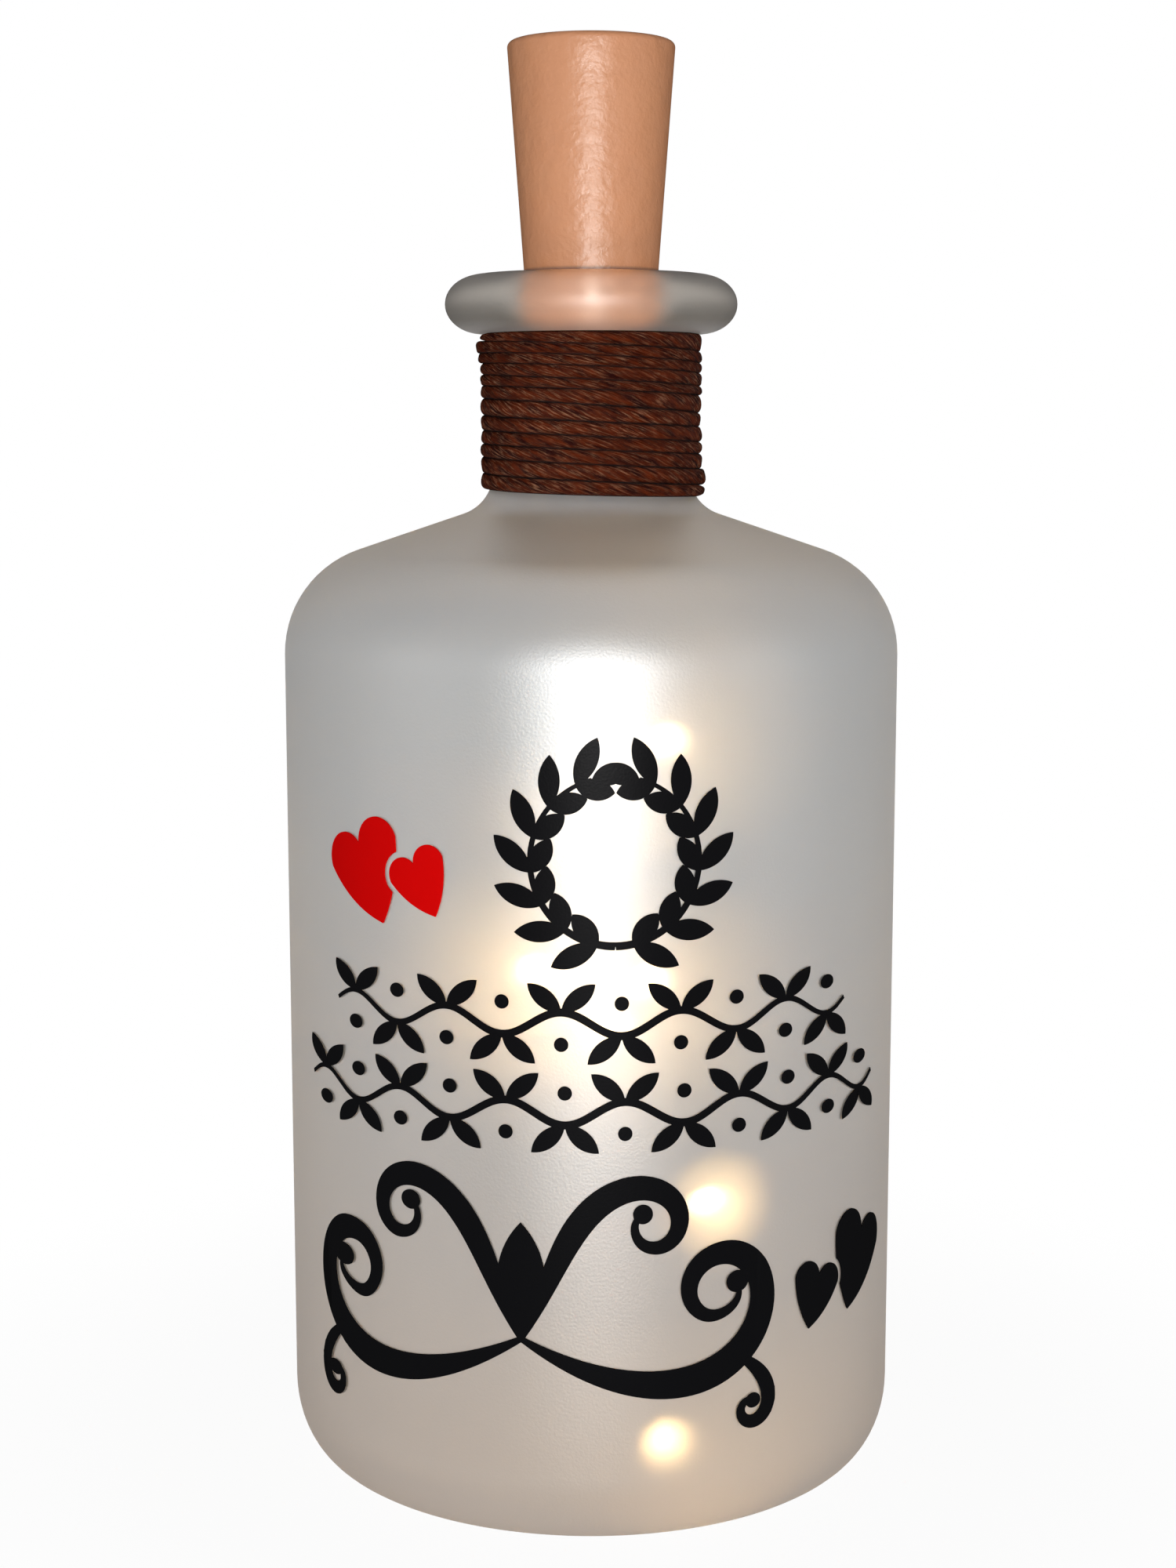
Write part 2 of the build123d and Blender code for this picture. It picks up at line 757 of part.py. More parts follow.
# Rubber grommet in the case's floor
with BuildPart() as wire_grommet:
    with BuildSketch(Plane.XY.offset(cork_bottom)):
        Circle(grommet_radius - grommet_seat)
    extrude(amount=case_floor)
    with BuildSketch(Plane.XY.offset(case_floor_top)):
        Circle(grommet_flange_radius)
    extrude(amount=grommet_flange_height)
    with Locations((0, 0, cork_bottom)):
        Hole(grommet_bore_radius, depth=2 * cork_length)
wire_grommet.part.label = "wire_grommet"
export_step(wire_grommet.part, "parts/wire_grommet.step")


def bend_radii(points):
    """Radius of each bend: so much of the shorter run beside it as bend_share says."""
    radii = []
    for before, here, after in zip(points, points[1:], points[2:]):
        come, go = here - before, after - here
        turn = radians(come.get_angle(go))
        radii.append(bend_share * min(come.length, go.length) / tan(turn / 2))
    return radii


# Two lead wires, from the string up to the plate's tab and to the strip
tab_side = -plate_tab_offset - plate_thickness / 2 - lead_diameter / 2
strip_side = strip_inner - lead_diameter / 2
lead_top = tube_bottom - lead_end_gap
with BuildPart() as lead_wires:
    for start, end in ((-lead_spacing / 2, tab_side), (lead_spacing / 2, strip_side)):
        points = [
            Vector(start, 0, cork_bottom),
            Vector(start, 0, cork_bottom + lead_rise),
            Vector(end, 0, lead_top - lead_rise),
            Vector(end, 0, lead_top),
        ]
        with BuildLine():
            FilletPolyline(*points, radius=bend_radii(points))
        with BuildSketch(Plane(origin=points[0], z_dir=(0, 0, 1))):
            Circle(lead_diameter / 2)
        sweep()
lead_wires.part.label = "lead_wires"
export_step(lead_wires.part, "parts/lead_wires.step")

# Cap that closes the case, with a slot for the switch and a notch to pull it by
cap_radius = cap_recess_radius - cap_clearance
cap_skirt_outer = case_inner(skirt_bottom) - cap_skirt_clearance
slot_length = slider_length + slider_travel + 2 * slider_clearance
slot_width = slider_width + 2 * slider_clearance
with BuildPart() as cork_cap:
    with BuildSketch(Plane.XY.offset(cap_bottom)):
        Circle(cap_radius)
    extrude(amount=cap_thickness)
    fillet(edges().filter_by(GeomType.CIRCLE).sort_by(Axis.Z)[-1], cap_edge_round)
    with BuildSketch(Plane.XY.offset(skirt_bottom)):
        Circle(cap_skirt_outer)
        Circle(cap_skirt_outer - cap_skirt_wall, mode=Mode.SUBTRACT)
    extrude(amount=cap_skirt_depth)
    with BuildSketch(Plane.XY.offset(cap_bottom)):
        Rectangle(slot_length, slot_width)
        with Locations((0, cap_radius)):
            SlotOverall(cap_notch_width, 2 * cap_notch_depth)
    extrude(amount=2 * cap_thickness, mode=Mode.SUBTRACT)
cork_cap.part.label = "cork_cap"
export_step(cork_cap.part, "parts/cork_cap.step")

# Metal frame of the slide switch, open below
with BuildPart() as switch_frame:
    with BuildSketch(Plane.XY.offset(switch_bottom)):
        Rectangle(switch_length, switch_width)
    extrude(amount=switch_height)
    with BuildSketch(Plane.XY.offset(switch_bottom)):
        Rectangle(switch_length - 2 * switch_wall, switch_width - 2 * switch_wall)
    extrude(amount=switch_height - switch_wall, mode=Mode.SUBTRACT)
    with BuildSketch(Plane.XY.offset(switch_bottom)):
        Rectangle(slot_length, slot_width)
    extrude(amount=2 * switch_height, mode=Mode.SUBTRACT)
switch_frame.part.label = "switch_frame"
export_step(switch_frame.part, "parts/switch_frame.step")

# Slider: a foot held between the frame and the board, and a ribbed knob in the slot
foot_bottom = switch_bottom + slider_clearance
foot_top = cap_bottom - switch_wall - slider_clearance
knob_top = cork_top + slider_proud
knob_middle = slider_travel / 2
with BuildPart() as switch_slider:
    with BuildSketch(Plane.XY.offset(foot_bottom)):
        with Locations((knob_middle, 0)):
            Rectangle(slider_foot_length, slider_foot_width)
    extrude(amount=foot_top - foot_bottom)
    with BuildSketch(Plane.XY.offset(foot_bottom)):
        with Locations((knob_middle, 0)):
            Rectangle(slider_length, slider_width)
    extrude(amount=knob_top - foot_bottom)
    with BuildSketch(Plane.XY.offset(knob_top - slider_groove_depth)):
        with Locations((knob_middle, 0)):
            with GridLocations(2 * slider_groove_width, 0, slider_groove_count, 1):
                Rectangle(slider_groove_width, 2 * slider_width)
    extrude(amount=2 * slider_groove_depth, mode=Mode.SUBTRACT)
switch_slider.part.label = "switch_slider"
export_step(switch_slider.part, "parts/switch_slider.step")

# Round board under the switch, with its resistor and its contact plate
with BuildPart() as cap_board:
    with BuildSketch(Plane.XY.offset(board_bottom)):
        Circle(board_radius)
    extrude(amount=board_thickness)
cap_board.part.label = "cap_board"
export_step(cap_board.part, "parts/cap_board.step")

with BuildPart() as limiting_resistor:
    with Locations((0, resistor_offset, switch_bottom)):
        Box(
            resistor_length,
            resistor_width,
            resistor_height,
            align=(Align.CENTER, Align.CENTER, Align.MIN),
        )
limiting_resistor.part.label = "limiting_resistor"
export_step(limiting_resistor.part, "parts/limiting_resistor.step")

with BuildPart() as contact_plate:
    with BuildSketch(Plane.XY.offset(contact_bottom)):
        Circle(contact_radius)
    extrude(amount=plate_thickness)
contact_plate.part.label = "contact_plate"
export_step(contact_plate.part, "parts/contact_plate.step")

# Lamp string: one tube for the pair of enamelled wires
string_points = [Vector(0, 0, cork_bottom)] + [around(*place) for place in string_route]
string_radii = bend_radii(string_points)
with BuildPart() as light_string:
    with BuildLine() as string_line:
        FilletPolyline(*string_points, radius=string_radii)
    with BuildSketch(Plane(origin=string_points[0], z_dir=string_points[1] - string_points[0])):
        Circle(string_diameter / 2)
    sweep()
light_string.part.label = "light_string"
export_step(light_string.part, "parts/light_string.step")
string_wire = string_line.wire()
print("light_string length", round(string_wire.length, 1), "least bend radius",
      round(min(string_radii), 2), "of", [round(radius, 1) for radius in string_radii])
print("light_string volume", round(light_string.part.volume, 2), "section times length",
      round(pi * string_diameter**2 / 4 * string_wire.length, 2))

# Lamps: a clear resin drop over a small chip, every so far along the string
lamp_planes = [
    Plane(
        origin=string_wire.position_at(number * lamp_spacing, position_mode=PositionMode.LENGTH),
        z_dir=string_wire.tangent_at(number * lamp_spacing, position_mode=PositionMode.LENGTH),
    )
    for number in range(1, lamp_count + 1)
]
with BuildPart() as drop_shape:
    with BuildSketch(Plane.XZ):
        with BuildLine():
            drop_side = EllipticalCenterArc(
                (0, 0), lamp_diameter / 2, lamp_length / 2, start_angle=-90, arc_size=180
            )
            Line(drop_side @ 1, drop_side @ 0)
        make_face()
    revolve(axis=Axis.Z)
with BuildPart() as led_drops:
    with Locations(*lamp_planes):
        add(drop_shape.part)
led_drops.part.label = "led_drops"
export_step(led_drops.part, "parts/led_drops.step")

with BuildPart() as led_chips:
    with Locations(*lamp_planes):
        with Locations((string_diameter / 2, 0, 0)):
            Box(chip_height, chip_width, chip_length, align=(Align.MIN, Align.CENTER, Align.CENTER))
led_chips.part.label = "led_chips"
export_step(led_chips.part, "parts/led_chips.step")
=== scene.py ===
# %% [markdown]
# # Cork bottle light
# A frosted glass bottle with red and black film on its front, waxed cord round its neck, and a battery
# case in the shape of a cork that carries a string of small lamps into the bottle.
# The CAD solids are loaded first. They fix every size and every moving part; Blender adds the finish.

# %% Start
import math
import random

import bmesh
import bpy
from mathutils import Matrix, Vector


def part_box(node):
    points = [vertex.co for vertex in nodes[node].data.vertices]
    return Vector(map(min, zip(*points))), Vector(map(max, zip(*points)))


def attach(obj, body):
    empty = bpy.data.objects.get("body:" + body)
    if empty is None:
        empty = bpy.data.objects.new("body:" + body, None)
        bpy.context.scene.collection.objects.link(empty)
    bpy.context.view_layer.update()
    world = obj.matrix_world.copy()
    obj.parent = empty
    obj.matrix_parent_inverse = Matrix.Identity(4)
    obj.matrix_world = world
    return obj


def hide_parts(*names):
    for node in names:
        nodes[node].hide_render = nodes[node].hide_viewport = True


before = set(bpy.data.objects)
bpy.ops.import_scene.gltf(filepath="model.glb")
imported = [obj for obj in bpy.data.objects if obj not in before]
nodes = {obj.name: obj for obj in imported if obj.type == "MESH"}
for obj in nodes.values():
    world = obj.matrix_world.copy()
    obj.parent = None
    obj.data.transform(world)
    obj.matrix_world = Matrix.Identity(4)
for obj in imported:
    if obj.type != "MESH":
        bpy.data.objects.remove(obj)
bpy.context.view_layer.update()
MM = 0.001
print("solids loaded:", len(nodes))

# %% [markdown]
# ## Camera
# The photo looks slightly down at the bottle from about 35 cm, so its rim and heel show as ellipses.
# The place, tilt and lens below were solved from the outline's widths and heights.

# %% Camera
camera_place = (-0.00043, -0.351, 0.144)
camera_down_degrees = 8.17
lens_mm = 58.5
bpy.ops.object.camera_add(
    location=camera_place, rotation=(math.radians(90 - camera_down_degrees), 0, 0)
)
camera = bpy.context.object
camera.data.lens = lens_mm
camera.data.clip_start = 0.01
bpy.context.scene.camera = camera
bpy.context.scene.view_settings.view_transform = "Standard"
print("camera", camera.name, "lens", lens_mm)

# %% [markdown]
# ## The lamp string's wire
# Two enamelled copper wires run side by side as one thin, springy line. It comes straight out of the
# cork, then lies in loose rings against the inside of the glass. A NURBS spline with the route's points
# as its control points gives that line one smooth sweep, as a bent wire has.

# %% Route of the string, from the cork down: degrees from the front towards +X, radius and height in mm
string_route = (
    (148.0, 0.9, 139.5), (130.0, 3.1, 127.5), (140.0, 6.5, 117.0), (118.0, 19.5, 107.0),
    (74.0, 32.5, 105.0), (28.0, 37.5, 104.5), (-26.0, 32.0, 101.0), (-82.0, 31.0, 94.0),
    (-140.0, 32.0, 88.0), (-198.0, 33.0, 82.0), (-258.0, 33.0, 77.5), (-315.0, 32.5, 77.2),
    (-368.0, 36.5, 73.2), (-420.0, 38.5, 76.5), (-473.0, 38.5, 80.5), (-527.0, 38.0, 81.0),
    (-580.0, 38.0, 79.0), (-634.0, 38.0, 77.0), (-688.0, 37.5, 74.5), (-745.0, 36.0, 70.0),
    (-802.0, 35.0, 65.0), (-860.0, 34.5, 63.5), (-918.0, 34.5, 66.0), (-976.0, 34.5, 69.5),
    (-1032.0, 35.0, 70.0), (-1088.0, 35.5, 66.0), (-1142.0, 37.0, 61.0), (-1196.0, 36.8, 57.0),
    (-1250.0, 36.5, 53.5), (-1304.0, 36.0, 52.5), (-1356.0, 37.5, 49.5), (-1406.0, 41.5, 46.5),
    (-1450.0, 37.0, 39.5), (-1488.5, 24.0, 28.0), (-1523.0, 9.5, 17.0), (-1744.0, 10.8, 12.5),
    (-1768.0, 24.7, 9.0), (-1787.5, 30.2, 8.0),
)
string_diameter = 0.6 * MM
string_exit = Vector((0, 0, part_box("light_string")[1].z))


def around(degrees, radius, height):
    """A place in metres, so far round from the front, out from the axis and up, given in mm."""
    turn = math.radians(degrees)
    return Vector((radius * math.sin(turn), -radius * math.cos(turn), height)) * MM


def smooth_line(name, places, radius):
    """A NURBS tube whose control points are the places."""
    curve = bpy.data.curves.new(name, "CURVE")
    curve.dimensions = "3D"
    spline = curve.splines.new("NURBS")
    spline.points.add(len(places) - 1)
    for point, place in zip(spline.points, places):
        point.co = (*place, 1)
    spline.order_u = 3
    spline.use_endpoint_u = True
    curve.resolution_u = 16
    curve.bevel_depth = radius
    curve.bevel_resolution = 3
    curve.use_fill_caps = True
    line = bpy.data.objects.new(name, curve)
    bpy.context.collection.objects.link(line)
    return line


string_wire = smooth_line(
    "string_wire", [string_exit] + [around(*place) for place in string_route], string_diameter / 2
)
print("string route points:", len(string_route) + 1)

# %% [markdown]
# ## Walking along the wire
# The lamps sit at even steps along the wire. A copy of the curve without its thickness becomes a chain
# of points, and a place is found on it by length, with the direction there.

# %% Walk along the wire
def line_points(line):
    """Points of a curve's own middle line."""
    thin = line.data.copy()
    thin.bevel_depth = 0
    holder = bpy.data.objects.new("thin_line", thin)
    bpy.context.collection.objects.link(holder)
    bpy.context.view_layer.update()
    mesh = bpy.data.meshes.new_from_object(holder)
    points = [vertex.co.copy() for vertex in mesh.vertices]
    bpy.data.objects.remove(holder)
    bpy.data.meshes.remove(mesh)
    return points


def walk(points, length):
    """Place and direction at a length along a chain of points."""
    for here, there in zip(points, points[1:]):
        step = (there - here).length
        if length <= step:
            return here.lerp(there, length / step), (there - here).normalized()
        length -= step
    return points[-1], (points[-1] - points[-2]).normalized()


wire_points = line_points(string_wire)
wire_length = sum((b - a).length for a, b in zip(wire_points, wire_points[1:]))
print("wire length in mm:", round(wire_length / MM, 1))

# %% [markdown]
# ## Working by hand, in code
# Each piece starts from a primitive and is shaped in edit mode. An operator acts on all that is
# selected, so these helpers clear the selection first.

# %% Helpers for shaping
weld_gap = MM / 1000


def choose(obj):
    """Selects one object alone and makes it the active one."""
    bpy.ops.object.select_all(action="DESELECT")
    obj.select_set(True)
    bpy.context.view_layer.objects.active = obj


def named(name):
    """Names the new object and its mesh."""
    obj = bpy.context.object
    obj.name = obj.data.name = name
    return obj


def edit(obj, mode="VERT"):
    """Opens an object in edit mode with nothing selected."""
    choose(obj)
    bpy.ops.object.mode_set(mode="EDIT")
    bpy.ops.mesh.select_mode(type=mode)
    bpy.ops.mesh.select_all(action="DESELECT")


def done(obj, angle=30):
    """Closes edit mode, puts the object's place into its mesh and smooths all but the sharp edges."""
    if bpy.context.mode != "OBJECT":
        bpy.ops.object.mode_set(mode="OBJECT")
    choose(obj)
    bpy.ops.object.transform_apply(location=True, rotation=True, scale=True)
    bpy.ops.object.shade_smooth_by_angle(angle=math.radians(angle))
    return obj


def join(parts):
    """Joins pieces into the first of them."""
    bpy.ops.object.select_all(action="DESELECT")
    for part in parts:
        part.select_set(True)
    bpy.context.view_layer.objects.active = parts[0]
    bpy.ops.object.join()


def block_shape(name, size):
    """A box round the origin, its size in mm, open in edit mode with all of it selected."""
    bpy.ops.object.select_all(action="DESELECT")
    bpy.ops.mesh.primitive_cube_add(size=1, location=(0, 0, 0))
    block = named(name)
    edit(block)
    bpy.ops.mesh.select_all(action="SELECT")
    bpy.ops.transform.resize(value=[length * MM for length in size])
    return block


def turned_shape(name, profile, steps, closed=False):
    """Extrudes one vertex along a profile of (radius, height) in mm, then spins it round the axis."""
    bpy.ops.object.select_all(action="DESELECT")
    bpy.ops.mesh.primitive_plane_add(size=MM, location=(0, 0, 0))
    obj = named(name)
    edit(obj)
    bpy.ops.mesh.select_all(action="SELECT")
    bpy.ops.mesh.merge(type="CENTER")
    places = [Vector((radius, 0, height)) * MM for radius, height in profile]
    bpy.ops.transform.translate(value=places[0])
    for here, there in zip(places, places[1:]):
        bpy.ops.mesh.extrude_region_move(TRANSFORM_OT_translate={"value": there - here})
    if closed:
        bpy.ops.mesh.extrude_region_move(TRANSFORM_OT_translate={"value": places[0] - places[-1]})
    bpy.ops.mesh.select_all(action="SELECT")
    bpy.ops.mesh.spin(steps=steps, angle=2 * math.pi, center=(0, 0, 0), axis=(0, 0, 1))
    bpy.ops.mesh.select_all(action="SELECT")
    bpy.ops.mesh.remove_doubles(threshold=weld_gap)
    bpy.ops.mesh.normals_make_consistent(inside=False)
    return obj


# %% [markdown]
# ## Drawing a profile
# A turned piece is only as good as its profile. Corners are given with the radius that rounds them,
# as a glass mould's drawing has them, and this helper works out the points of each arc.

# %% Rounded profile
def arc(centre, radius, start, end, count, rise=None):
    """Points on a circle or ellipse between two angles in degrees."""
    rise = radius if rise is None else rise
    turns = [math.radians(start + (end - start) * step / count) for step in range(count + 1)]
    return [(centre[0] + radius * math.cos(t), centre[1] + rise * math.sin(t)) for t in turns]


def rounded(corners, count=10):
    """A line through (radius, height, round) corners with each corner rounded."""
    points = []
    for index, (x, z, size) in enumerate(corners):
        here = Vector((x, z))
        if not size or index in (0, len(corners) - 1):
            points.append((x, z))
            continue
        back = (Vector(corners[index - 1][:2]) - here).normalized()
        ahead = (Vector(corners[index + 1][:2]) - here).normalized()
        half = back.angle(ahead) / 2
        reach = size / math.tan(half)
        start, end = here + back * reach, here + ahead * reach
        centre = here + (back + ahead).normalized() * size / math.sin(half)
        first, last = start - centre, end - centre
        sweep = math.atan2(first.x * last.y - first.y * last.x, first.dot(last))
        lead = math.atan2(first.y, first.x)
        for step in range(count + 1):
            t = lead + sweep * step / count
            points.append((centre.x + size * math.cos(t), centre.y + size * math.sin(t)))
    return points


# %% [markdown]
# ## Bottle
# The bottle is blown glass with an even wall: a low punt in the base, a soft heel, a straight body,
# round shoulders, a short neck and a fat rolled rim. Outside and inside are one closed profile, spun
# round the axis, so that the wall has its true thickness and light crosses it as in real glass.

# %% Bottle's profile
body_radius, wall_top, heel_width, heel_height = 42.0, 112.2, 6.1, 10.0
punt_radius, punt_rise = 32.4, 3.0
shoulder_round, slope_degrees = 14.7, 18.7
neck_radius, neck_base, neck_round = 13.4, 132.425, 6.0
mouth_height, rim_centre, rim_reach, rim_half = 163.125, 15.0, 4.8, 3.9
rim_tuck, bore_radius, lip_round, glass_wall, bore_round = 0.5, 9.06, 1.3, 2.8, 8.0
inner_floor, inner_rise, inner_heel = 5.2, 1.8, 7.0
arc_steps, rim_steps, lip_steps, punt_steps, floor_steps, wall_rings = 14, 28, 8, 10, 8, 16
slope_rise = math.tan(math.radians(slope_degrees))


def dish(radius, edge_height, rise, count):
    """Arc from the axis out to a radius, as high in the middle as its rise."""
    curve = (radius**2 + rise**2) / (2 * rise)
    steps = [radius * step / count for step in range(count + 1)]
    return [(r, edge_height + rise - curve + math.sqrt(curve**2 - r**2)) for r in steps]


def long_run(start, end, count):
    """Points between two places, so that a long wall has rings enough for its finish."""
    return [
        (start[0] + (end[0] - start[0]) * step / count, start[1] + (end[1] - start[1]) * step / count)
        for step in range(1, count)
    ]


def slope_height(radius):
    """Height of the outer shoulder's slope at a radius."""
    return neck_base + (neck_radius - radius) * slope_rise


outer_shoulder = rounded([
    (body_radius, heel_height, 0),
    (body_radius, slope_height(body_radius), shoulder_round),
    (neck_radius, neck_base, neck_round),
    (neck_radius, mouth_height - 2 * rim_half, rim_tuck),
    (rim_centre, mouth_height - 2 * rim_half, 0),
], arc_steps)
inner_wall = body_radius - glass_wall
inner_drop = glass_wall / math.cos(math.radians(slope_degrees))
inner_shoulder = rounded([
    (bore_radius, mouth_height - lip_round, 0),
    (bore_radius, slope_height(bore_radius) - inner_drop, bore_round),
    (inner_wall, slope_height(inner_wall) - inner_drop, shoulder_round - glass_wall),
    (inner_wall, inner_floor, inner_heel),
    (inner_wall - inner_heel, inner_floor, 0),
], arc_steps)[:-1]
outside = (
    dish(punt_radius, 0, punt_rise, punt_steps)
    + arc((body_radius - heel_width, heel_height), heel_width, -90, 0, arc_steps, heel_height)
    + long_run((body_radius, heel_height), (body_radius, wall_top), wall_rings)
    + outer_shoulder[1:]
    + arc((rim_centre, mouth_height - rim_half), rim_reach, -90, 90, rim_steps, rim_half)[1:]
)
lip = arc((bore_radius + lip_round, mouth_height - lip_round), lip_round, 90, 180, lip_steps)
inner_dish = dish(inner_wall - inner_heel, inner_floor, inner_rise, floor_steps)
glass_profile = outside + lip + inner_shoulder[1:] + inner_dish[::-1][1:]
print("bottle profile points:", len(glass_profile))

# %% Bottle
glass_steps = 160
glass_bottle = turned_shape("glass_bottle", glass_profile, glass_steps)
done(glass_bottle, angle=40)
print("bottle faces:", len(glass_bottle.data.polygons))

# %% Faces of the hollow: limits for their normals, and the heights of its floor and shoulder in mm
side_turn, floor_turn = 0.25, 0.5
floor_low, floor_high, slope_low, slope_high = 4, 12, 115, 136


def faces_inside(middle, normal):
    """True where a face looks at the bottle's hollow."""
    inward = middle.xy.length > 0 and normal.xy.dot(middle.xy.normalized()) < -side_turn
    on_floor = normal.z > floor_turn and floor_low * MM < middle.z < floor_high * MM
    under_slope = normal.z < -side_turn and slope_low * MM < middle.z < slope_high * MM
    return inward or on_floor or under_slope


# %% [markdown]
# ## Finishes
# Every finish is a small node tree. Numbers that hold for the whole surface are set on the shader
# itself; grain, fibres and wear come from noise read in the object's own coordinates, in metres.

# %% Helpers for finishes
class Finish:
    """A material or a world, with short ways to add and join its nodes."""

    def __init__(self, name, world=False):
        self.owner = (bpy.data.worlds if world else bpy.data.materials).new(name)
        self.owner.use_nodes = True
        self.tree = self.owner.node_tree
        self.tree.nodes.clear()
        self.output = self.node("ShaderNodeOutputWorld" if world else "ShaderNodeOutputMaterial")

    def node(self, kind, inputs=None, **settings):
        made = self.tree.nodes.new(kind)
        for key, value in settings.items():
            setattr(made, key, value)
        for key, value in (inputs or {}).items():
            if isinstance(value, bpy.types.NodeSocket):
                self.tree.links.new(value, made.inputs[key])
            else:
                made.inputs[key].default_value = value
        return made

    def place(self):
        return self.node("ShaderNodeTexCoord").outputs["Object"]

    def height(self):
        return self.node("ShaderNodeSeparateXYZ", {0: self.place()}).outputs["Z"]

    def mapped(self, scale, place=None):
        return self.node(
            "ShaderNodeMapping", {"Vector": place or self.place(), "Scale": scale}
        ).outputs["Vector"]

    def noise(self, scale, detail=2.0, roughness=0.5, place=None):
        return self.node("ShaderNodeTexNoise", {
            "Vector": place or self.place(), "Scale": scale, "Detail": detail, "Roughness": roughness,
        }).outputs["Fac"]

    def ramp(self, value, low, high, start=0.0):
        """A grey that climbs from its start to white while the value goes from low to high."""
        made = self.node("ShaderNodeValToRGB", {"Fac": value})
        for element, position, grey in zip(made.color_ramp.elements, (low, high), (start, 1.0)):
            element.position = position
            element.color = (grey, grey, grey, 1)
        return made.outputs["Color"]

    def spread(self, value, first, last, low=0.0, high=1.0, **settings):
        """Goes from the first to the last while the value goes from low to high, and no further."""
        return self.node("ShaderNodeMapRange", {
            "Value": value, "From Min": low, "From Max": high, "To Min": first, "To Max": last,
        }, **settings).outputs["Result"]

    def math(self, operation, first, second=0.0):
        return self.node("ShaderNodeMath", {0: first, 1: second}, operation=operation).outputs[0]

    def mix(self, factor, first, second):
        made = self.node("ShaderNodeMix", data_type="RGBA")
        for key, value in ((0, factor), (6, first), (7, second)):
            if isinstance(value, bpy.types.NodeSocket):
                self.tree.links.new(value, made.inputs[key])
            else:
                made.inputs[key].default_value = value
        return made.outputs[2]

    def bump(self, height, strength, distance):
        return self.node("ShaderNodeBump", {
            "Height": height, "Strength": strength, "Distance": distance,
        }).outputs["Normal"]

    def blend(self, factor, first, second):
        return self.node("ShaderNodeMixShader", {0: factor, 1: first, 2: second}).outputs[0]

    def principled(self, **inputs):
        sockets = {key.replace("_", " "): value for key, value in inputs.items()}
        return self.node("ShaderNodeBsdfPrincipled", sockets).outputs[0]

    def satin(self, colour, normal, gloss, roughness, edge_gloss=None):
        """Matt colour with a set share of gloss: no pale edge, as on waxed or printed skins."""
        if edge_gloss is not None:
            facing = self.node("ShaderNodeLayerWeight", {"Blend": 0.5, "Normal": normal})
            gloss = self.spread(facing.outputs["Facing"], gloss, edge_gloss)
        matt = self.node("ShaderNodeBsdfDiffuse", {"Color": colour, "Normal": normal}).outputs[0]
        shine = self.node("ShaderNodeBsdfGlossy", {
            "Color": (1, 1, 1, 1), "Roughness": roughness, "Normal": normal,
        }).outputs[0]
        return self.blend(gloss, matt, shine)

    def seen(self):
        """Two values: 1 for camera and mirror rays, and 1 for rays through glass.

        A ray of rough refraction counts as glossy too, so it is taken off the mirror rays.
        """
        rays = self.node("ShaderNodeLightPath").outputs
        through = rays["Is Transmission Ray"]
        mirrored = self.math("MULTIPLY", rays["Is Glossy Ray"], self.math("SUBTRACT", 1.0, through))
        return self.math("MAXIMUM", rays["Is Camera Ray"], mirrored), through

    def finish(self, shader):
        self.tree.links.new(shader, self.output.inputs["Surface"])
        return self.owner


def linear(red, green, blue):
    """A colour picked from a screen, 0 to 255, as the linear values that nodes take."""
    def one(value):
        value /= 255
        return value / 12.92 if value <= 0.04045 else ((value + 0.055) / 1.055) ** 2.4
    return (one(red), one(green), one(blue), 1.0)


def wear(obj, *materials):
    """Gives an object its materials, one slot each."""
    obj.data.materials.clear()
    for material in materials:
        obj.data.materials.append(material)


# %% [markdown]
# ## Frosted glass
# The frost is a sprayed coat on the outside of clear glass. It scatters light both ways: it looks satin
# grey in front light, glows where a lamp is close behind it, and shows only a blurred hint of what is
# inside. So the outer faces mix a satin coat, a translucent part and a rough refraction, and the inner
# faces are nearly clear. Towards the base the coat is warmer; towards the neck it has less sheen, and
# its paint is paler there as painted light that lifts the shade under the cord and rim. The rim has the
# thinnest coat, so the cork's colour shows through it.

# %% Frosted coat: heights in metres, then shares of the whole
warm_top, neck_low, neck_high, rim_low, rim_high = 0.085, 0.114, 0.130, 0.1545, 0.157
through_share, blur_share, lip_share = 0.36, 0.18, 0.74
wall_sheen, neck_sheen, rim_sheen = 0.27, 0.12, 0.07
wall_passes, rim_passes_more = 0.15, 0.75


